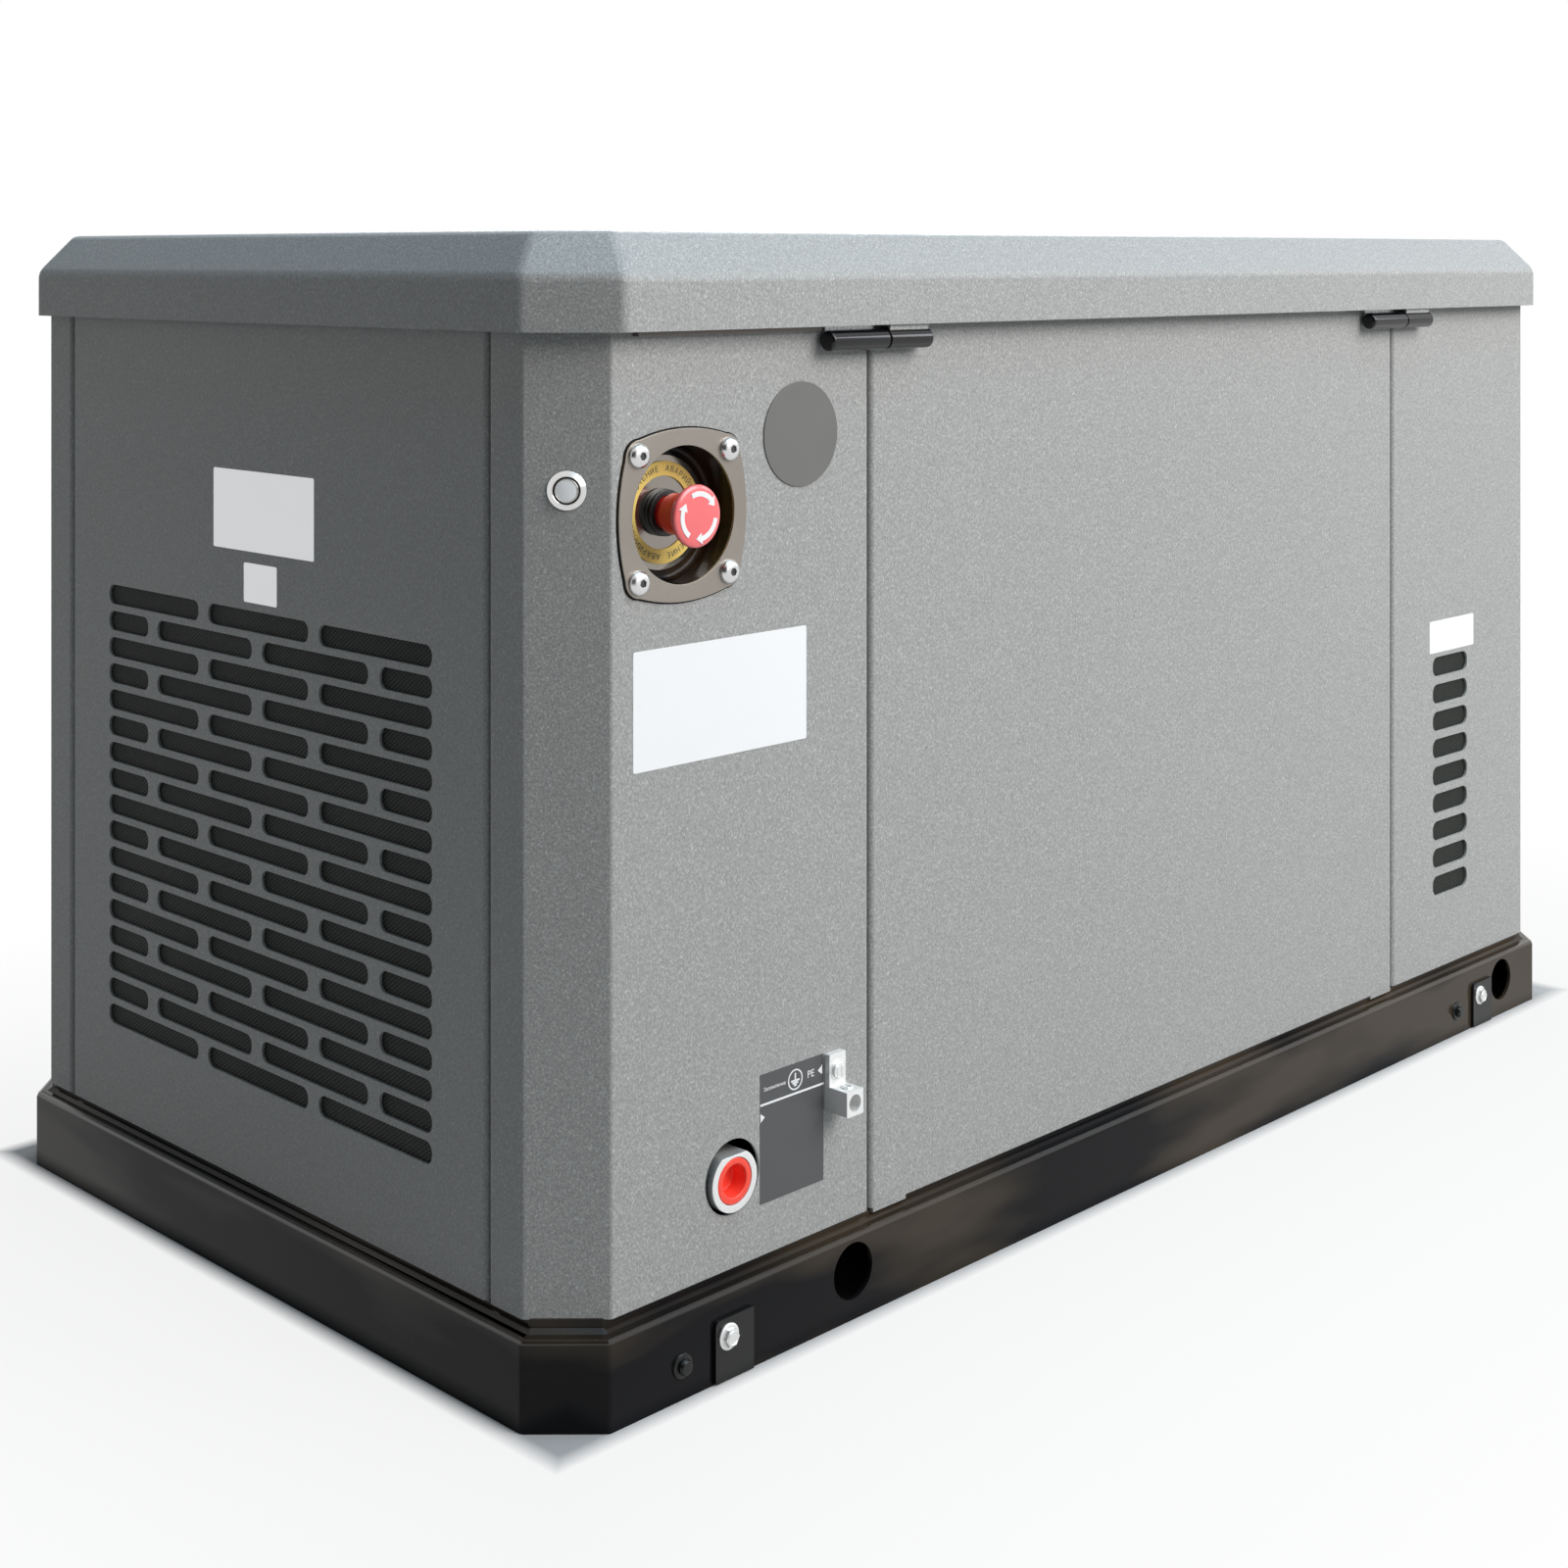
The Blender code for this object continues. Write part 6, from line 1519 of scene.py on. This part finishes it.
@dataclass
class GasInlet:
    """The zinc gas coupling with a wrench flat above and its red shipping plug."""

    coupling_radius: float = 0.020
    bore_radius: float = 0.0152
    flat: float = 0.0168
    proud: float = 0.003
    bore_depth: float = 0.030
    plug_radius: float = 0.0148
    plug_depth: float = 0.024
    recess: float = 0.012
    plug_wall: float = 0.0042
    face_depth: float = 0.0008
    settle: tuple[float, float] = (-0.0005, -0.0019)

    def build(self) -> None:
        """Build the coupling, its machined face and the plug."""
        low, high = span("gas_inlet_coupling")
        face = span("front_access_panel")[0].y
        at = Vector(((low.x + high.x) / 2 + self.settle[0], face, (low.z + high.z) / 2 + self.settle[1]))
        lay = facing(Side.FRONT.value, at)
        inner = face - high.y
        bore_end = self.proud - self.bore_depth
        body = Form().plate([self.flatted(), circle(self.bore_radius, 56)], bore_end, self.proud - self.face_depth, 0.0)
        body.add(Form().plate([self.flatted()], inner, bore_end))
        body.place(lay).piece("gas_inlet_coupling_plated", ZINC, "zinc", ["gas_inlet_coupling"])
        ring = Form().plate([self.flatted(), circle(self.bore_radius, 56)], self.proud - self.face_depth, self.proud,
                            0.0004, 2)
        ring.place(lay).piece("gas_inlet_coupling_face", ZINC_FACE, "zinc")
        hollow = self.plug_radius - self.plug_wall
        plug = Form().turned([(0.0, self.proud - self.recess), (hollow - 0.0012, self.proud - self.recess, 0.0012),
                              (hollow, self.proud - 0.0002, 0.0010), (self.plug_radius, self.proud - 0.0002, 0.0007),
                              (self.plug_radius, self.proud - self.plug_depth), (0.0, self.proud - self.plug_depth)],
                             steps=56, corner_steps=4)
        plug.place(lay).piece("gas_inlet_plug_moulded", PLUG_RED, "red_plastic", ["gas_inlet_plug"], Body.GAS_PLUG)

    def flatted(self) -> Outline:
        """A round outline with a wrench flat above."""
        return [(x, min(y, self.flat)) for x, y in circle(self.coupling_radius, ROUND_STEPS)]


@dataclass
class GroundLug:
    """The silver ground lug: a clamp block on a screwed tab."""

    block_height: tuple[float, float] = (0.1445, 0.1615)
    back: float = 0.004
    tab_thickness: float = 0.0045
    tab_inset: float = 0.0002
    washer_radius: float = 0.0070
    tab_screw: tuple[float, float] = (0.0058, 0.0028)
    clamp_screw: tuple[float, float] = (0.0044, 0.0012)
    clamp_reach: float = 0.62
    wire_radius: float = 0.0057
    screw_height: float = 0.1715

    def build(self) -> None:
        """Build the lug with its two screws."""
        low, high = span("ground_lug")
        face = high.y
        middle = (low.x + high.x) / 2
        width = high.x - low.x
        bottom, top = self.block_height
        reach = face - low.y
        lay = facing(Side.FRONT.value, (middle, face, (bottom + top) / 2))
        lug = Form().plate([rectangle(width, top - bottom, 0.0008), circle(self.wire_radius, 40)], self.back, reach,
                           0.0006, 2)
        lug.plate([rectangle(width, top - bottom, 0.0008)], 0.0, self.back)
        lug.place(lay)
        tab = Form().plate([rectangle(width - self.tab_inset, high.z - top + self.back, 0.0012)], 0.0,
                           self.tab_thickness, 0.0005)
        lug.add(tab, facing(Side.FRONT.value, (middle, face, (high.z + top - self.back) / 2)))
        lug.piece("ground_lug_bright", ZINC_FACE, "zinc", ["ground_lug"])
        screws = Form()
        head = self.slotted(*self.tab_screw).turned([(0.0, -0.0004), (self.washer_radius, -0.0004),
                                                     (self.washer_radius, 0.0005, 0.0002), (0.0, 0.0005)], steps=32)
        screws.add(head, facing(Side.FRONT.value, (middle, face - self.tab_thickness, self.screw_height)))
        clamp = self.slotted(*self.clamp_screw)
        screws.add(clamp, facing((0, 0, 1), (middle, face - reach * self.clamp_reach, top - 0.0002), (0, 1, 0)))
        grip = self.wire_radius - 0.0002
        inner = Form().turned([(0.0, 0.0), (grip, 0.0), (grip, 0.0030, 0.0006), (self.wire_radius - 0.0018, 0.0036),
                               (0.0, 0.0030)], steps=24)
        screws.add(inner, facing(Side.FRONT.value, (middle, face - self.back, (bottom + top) / 2)))
        screws.piece("ground_lug_screws", ZINC, "zinc")

    def slotted(self, radius: float, height: float) -> Form:
        """A slotted pan-head screw."""
        form = Form().turned([(0.0, 0.0), (radius, 0.0), (radius, height, height * 0.4), (0.0, height)], steps=28)
        half = radius * 0.16
        form.block((half, -radius * 0.8, height - 0.0002), (radius * 0.62, radius * 0.55, height + 0.0004), 0.0001, 1)
        form.block((-radius * 0.62, -radius * 0.8, height - 0.0002), (-half, radius * 0.55, height + 0.0004), 0.0001, 1)
        return form


@dataclass
class Labels:
    """The plain stickers, the earth sign label and the round cover film."""

    corner: float = 0.0015
    earth_size: tuple[float, float] = (0.060, 0.085)
    earth_centre: tuple[float, float] = (-0.425, 0.141)
    line_share: float = 0.264
    text_share: float = 0.378
    sign_x: float = 0.0028
    sign_drop: float = 0.0004
    sign_radius: float = 0.0069
    cover_top: float = 0.0009

    def build(self) -> None:
        """Lay every sticker on its panel."""
        front_y = span("front_access_panel")[0].y
        end_x = span("intake_end_panel")[0].x
        for name, left, right, bottom, top in (("warning_sticker_bare", -0.566, -0.4115, 0.398, 0.4735),
                                               ("vent_sticker_bare", 0.409, 0.490, 0.355, 0.3845),
                                               ("end_sticker_bare", -0.071, 0.056, 0.511, 0.568),
                                               ("end_small_sticker_bare", -0.0256, 0.0163, 0.475, 0.503)):
            across, up = (left + right) / 2, (bottom + top) / 2
            side, at, finish = ((Side.INTAKE, (end_x, across, up), LABEL_FOIL) if name.startswith("end_")
                                else (Side.FRONT, (across, front_y, up), LABEL_PLAIN))
            form = Form().plate([rectangle(right - left, top - bottom, self.corner)], FILM_LIFT, STICKER_THICKNESS,
                                0.00008, 1)
            form.place(facing(side.value, at)).piece(name, finish, "stainless")
        self.build_earth_label(front_y)
        self.build_cover(front_y)

    def build_earth_label(self, front_y: float) -> None:
        """The dark label beside the ground lug, with the earth sign, PE and its arrows."""
        width, height = self.earth_size
        at = (self.earth_centre[0], front_y, self.earth_centre[1])
        lay = facing(Side.FRONT.value, at)
        Form().plate([rectangle(width, height, 0.0005)], FILM_LIFT, STICKER_THICKNESS).place(lay).piece(
            "earth_label_film", LABEL_DARK, "control_plastic")
        top = STICKER_THICKNESS + FILM_LIFT
        ink = Form()
        line, level = height * self.line_share, height * self.text_share
        ink.block((-width / 2, line - 0.0007, top), (width / 2, line + 0.0007, top + PRINT_THICKNESS))
        self.earth_sign(ink, self.sign_x, level - self.sign_drop, self.sign_radius, top)
        for text, x, size in (("PE", 0.0176, 0.0068), ("Заземление", -0.0165, 0.0035)):
            ink.add(lettering(text, size), Matrix.Translation((x, level, top)))
        for tip, heel, y, half in ((width / 2 - 0.0056, width / 2 - 0.0014, level, 0.0033),
                                   (0.0042 - width / 2, 0.0002 - width / 2, height * 0.166, 0.0030)):
            points = [(tip, y), (heel, y - half), (heel, y + half)]
            ink.plate([points], top, top + PRINT_THICKNESS)
        ink.place(lay).piece("earth_label_ink", WHITE_INK, "control_plastic", weighted=False)

    def earth_sign(self, ink: Form, x: float, y: float, radius: float, top: float) -> None:
        """A ring round the protective earth sign."""
        high = top + PRINT_THICKNESS
        ink.plate([circle(radius, 48, x, y), circle(radius * 0.86, 48, x, y)], top, high)
        bar = radius * 0.095
        ink.block((x - bar, y - radius * 0.05, top), (x + bar, y + radius * 0.62, high))
        for half, drop in ((0.58, 0.10), (0.40, 0.32), (0.20, 0.54)):
            ink.block((x - radius * half, y - radius * drop - bar, top),
                      (x + radius * half, y - radius * drop + bar, high))

    def build_cover(self, front_y: float) -> None:
        """The round grey film over the spare opening."""
        low, high = span("inspection_cover")
        radius = (high.x - low.x) / 2
        form = Form().turned([(0.0, SEAT_GAP), (radius, SEAT_GAP), (radius, self.cover_top, 0.0002),
                              (0.0, self.cover_top)], steps=ROUND_STEPS)
        form.place(facing(Side.FRONT.value, ((low.x + high.x) / 2, front_y, (low.z + high.z) / 2)))
        form.piece("inspection_cover_film", PATCH_GREY, "dark_cover", ["inspection_cover"])


# ---------------------------------------------------------------- generating set


@dataclass
class GeneratingSet:
    """Smooth, softened versions of the pieces inside."""

    def build(self) -> None:
        """Build every inside piece from the frame's own shapes."""
        moving = {"alternator_rotor": Body.ROTOR, "flywheel_fan": Body.ROTOR, "dipstick": Body.DIPSTICK,
                  "throttle_lever": Body.THROTTLE, "breaker_lever": Body.BREAKER}
        rows: list[tuple[str, Finish, str, float]] = [
            ("inner_frame", FRAME_PAINT, "frame_paint", 0.0008),
            ("crankcase", CAST_ALUMINIUM, "cast_aluminium", 0.0),
            ("cylinder_left", CAST_ALUMINIUM, "cast_aluminium", 0.0),
            ("cylinder_right", CAST_ALUMINIUM, "cast_aluminium", 0.0),
            ("alternator_stator", CAST_IRON, "cast_iron", 0.002),
            ("alternator_end_bracket", CAST_ALUMINIUM, "cast_aluminium", 0.0),
            ("alternator_rotor", COPPER_WINDING, "stainless", 0.001),
            ("flywheel_fan", CAST_ALUMINIUM, "cast_aluminium", 0.0),
            ("blower_housing", FRAME_PAINT, "black_steel", 0.0),
            ("engine_cradle", FRAME_PAINT, "frame_paint", 0.001),
            ("starter_motor", HINGE_GLOSS, "black_steel", 0.0008),
            ("oil_filter", FILTER_WHITE, "filter_paint", 0.0008),
            ("dipstick", YELLOW_PLASTIC, "yellow_plastic", 0.0006),
            ("intake_manifold", CAST_ALUMINIUM, "cast_aluminium", 0.0),
            ("gas_mixer", CAST_ALUMINIUM, "cast_aluminium", 0.0008),
            ("throttle_lever", ZINC, "zinc", 0.0003),
            ("air_filter_box", BLACK_PLASTIC, "black_plastic", 0.003),
            ("gas_regulator", CAST_ALUMINIUM, "cast_aluminium", 0.001),
            ("gas_hose", RUBBER, "hose_rubber", 0.0),
            ("muffler", HEATED, "exhaust_steel", 0.0),
            ("exhaust_pipe_left", HEATED, "exhaust_steel", 0.0),
            ("exhaust_pipe_right", HEATED, "exhaust_steel", 0.0),
            ("battery", BLACK_PLASTIC, "black_plastic", 0.0015),
            ("controller_box", CONTROL_GREY, "control_plastic", 0.002),
            ("breaker_lever", BLACK_PLASTIC, "black_plastic", 0.0006),
            ("estop_contact_block", BLACK_PLASTIC, "black_plastic", 0.0008),
        ]
        for node, finish, slot, edge in rows:
            form = Form().copied(node)
            if edge:
                form.soften(edge, 2)
            form.piece(f"{node}_finished", finish, slot, [node], moving.get(node, Body.ENCLOSURE),
                       smooth=COPY_SMOOTH_ANGLE)


# ---------------------------------------------------------------- studio


@dataclass
class Studio:
    """Camera, pale floor, lamps and world."""

    camera_place: tuple[float, float, float] = (-1.5348, -1.4246, 0.719)
    camera_turn: float = -45.294
    sensor: float = 36.0
    lens: float = 53.80
    shift: tuple[float, float] = (0.0006, -0.3358)
    floor_half: float = 9.0
    floor_colour: Colour = (0.40, 0.40, 0.40)
    footprint: tuple[float, float] = (0.63, 0.34)
    floor_white: float = 0.86
    ambient: float = 0.14
    card_size: tuple[float, float] = (5.2, 3.4)
    card_out: tuple[float, float, float] = (0.82, 0.57, 0.0)
    card_place: tuple[float, float, float] = (-3.3, -2.3, 1.8)

    def build(self) -> None:
        """Build the whole studio."""
        self.build_camera()
        self.build_floor()
        self.build_lamps()
        self.build_card()
        self.build_world()
        bpy.context.scene.view_settings.view_transform = "Standard"

    def build_camera(self) -> None:
        """A level camera off the left front corner."""
        data = bpy.data.cameras.new("camera")
        data.sensor_width, data.lens = self.sensor, self.lens
        data.shift_x, data.shift_y = self.shift
        camera = bpy.data.objects.new("camera", data)
        camera.location = self.camera_place
        camera.rotation_euler = (radians(90), 0.0, radians(self.camera_turn))
        bpy.context.scene.collection.objects.link(camera)
        bpy.context.scene.camera = camera

    def build_floor(self) -> None:
        """A wide pale floor that keeps the object's shadow."""
        form = Form()
        bmesh.ops.create_grid(form.mesh, x_segments=1, y_segments=1, size=self.floor_half)
        self.staged("studio_floor", form, self.floor_material())

    def staged(self, name: str, form: Form, material: bpy.types.Material) -> bpy.types.Object:
        """Set a form up as part of the studio, not of the object."""
        data = bpy.data.meshes.new(name)
        form.mesh.to_mesh(data)
        form.mesh.free()
        item = bpy.data.objects.new(name, data)
        bpy.context.scene.collection.objects.link(item)
        data.materials.append(material)
        return item

    def floor_material(self) -> bpy.types.Material:
        """Pale floor paint that turns to the background's white away from the object."""
        material = bpy.data.materials.new("pale_floor")
        material.use_nodes = True
        graph = Graph(material.node_tree)
        at = graph.place()
        fine = graph.noise(at, 40.0, 2.0)
        colour = graph.shaded(self.floor_colour, 0.995 + fine * 0.01)
        paint = graph.node("ShaderNodeBsdfDiffuse", None, {"Color": colour})
        white = graph.node("ShaderNodeEmission", None, {"Color": (1, 1, 1, 1), "Strength": 1.0})
        x, y, _ = graph.axes(at)
        along = graph.math("ABSOLUTE", x, 0.0) - self.footprint[0]
        across = graph.math("ABSOLUTE", y, 0.0) - self.footprint[1]
        away = along.most(across)
        share = (away * 60.0).clamped() * (self.floor_white + away * 0.25).clamped()
        factor = share * background_rays(graph)
        mix = graph.node("ShaderNodeMixShader", None, {0: factor, 1: graph.term(paint), 2: graph.term(white)})
        graph.node("ShaderNodeOutputMaterial", None, {0: graph.term(mix)})
        return material

    def build_lamps(self) -> None:
        """A broad key before the front, a small side lamp, a fill behind and a cool light from above."""
        for name, place, target, size, power, colour in (
                ("key_lamp", (0.85, -3.28, 2.7), (0.0, -0.2, 0.4), 2.7, 168.0, (1.0, 0.99, 0.98)),
                ("side_lamp", (3.4, -2.6, 2.2), (0.1, -0.3, 0.2), 1.3, 30.0, (0.92, 0.96, 1.0)),
                ("rear_lamp", (3.0, 3.0, 2.5), (0.2, 0.2, 0.4), 2.4, 150.0, (1.0, 1.0, 1.0)),
                ("top_lamp", (0.1, -0.5, 3.4), (0.0, 0.0, 0.5), 2.6, 54.0, (0.42, 0.74, 1.0))):
            data = bpy.data.lights.new(name, "AREA")
            data.energy, data.size, data.color = power, size, colour
            lamp = bpy.data.objects.new(name, data)
            lamp.location = place
            lamp.rotation_euler = (Vector(target) - Vector(place)).to_track_quat("-Z", "Y").to_euler()
            bpy.context.scene.collection.objects.link(lamp)

    def build_card(self) -> None:
        """A dark card off to the left that shades the intake end and gives bright metal something dark to mirror."""
        form = Form()
        bmesh.ops.create_grid(form.mesh, x_segments=1, y_segments=1, size=0.5)
        bmesh.ops.scale(form.mesh, vec=(*self.card_size, 1.0), verts=list(form.mesh.verts))
        form.place(facing(self.card_out, self.card_place))
        self.staged("studio_card", form, CARD_FELT.material()).visible_camera = False

    def build_world(self) -> None:
        """A white background with a plain soft light."""
        world = bpy.data.worlds.new("studio_world")
        bpy.context.scene.world = world
        world.use_nodes = True
        graph = Graph(world.node_tree)
        strength = self.ambient + background_rays(graph) * (1.0 - self.ambient)
        sky = graph.node("ShaderNodeBackground", None, {"Color": (1, 1, 1, 1), "Strength": strength})
        graph.node("ShaderNodeOutputWorld", None, {0: graph.term(sky)})


def background_rays(graph: Graph) -> Term:
    """1 for rays that show the background: straight, mirrored and through glass."""
    path = graph.node("ShaderNodeLightPath")
    seen = graph.term(path, "Is Camera Ray").most(graph.term(path, "Is Glossy Ray"))
    return seen.most(graph.term(path, "Is Transmission Ray"))


def main() -> None:
    """Build the generator's looks in order and report every piece."""
    logging.basicConfig(level=logging.INFO, format="%(name)s: %(message)s")
    Studio().build()
    TrayBase().build()
    HoldDowns().build()
    Enclosure().build()
    Lid().build()
    Hinges().build()
    LidLocks().build()
    EmergencyStop().build()
    PushButton().build()
    GasInlet().build()
    GroundLug().build()
    Labels().build()
    GeneratingSet().build()


if __name__ == "__main__":
    main()
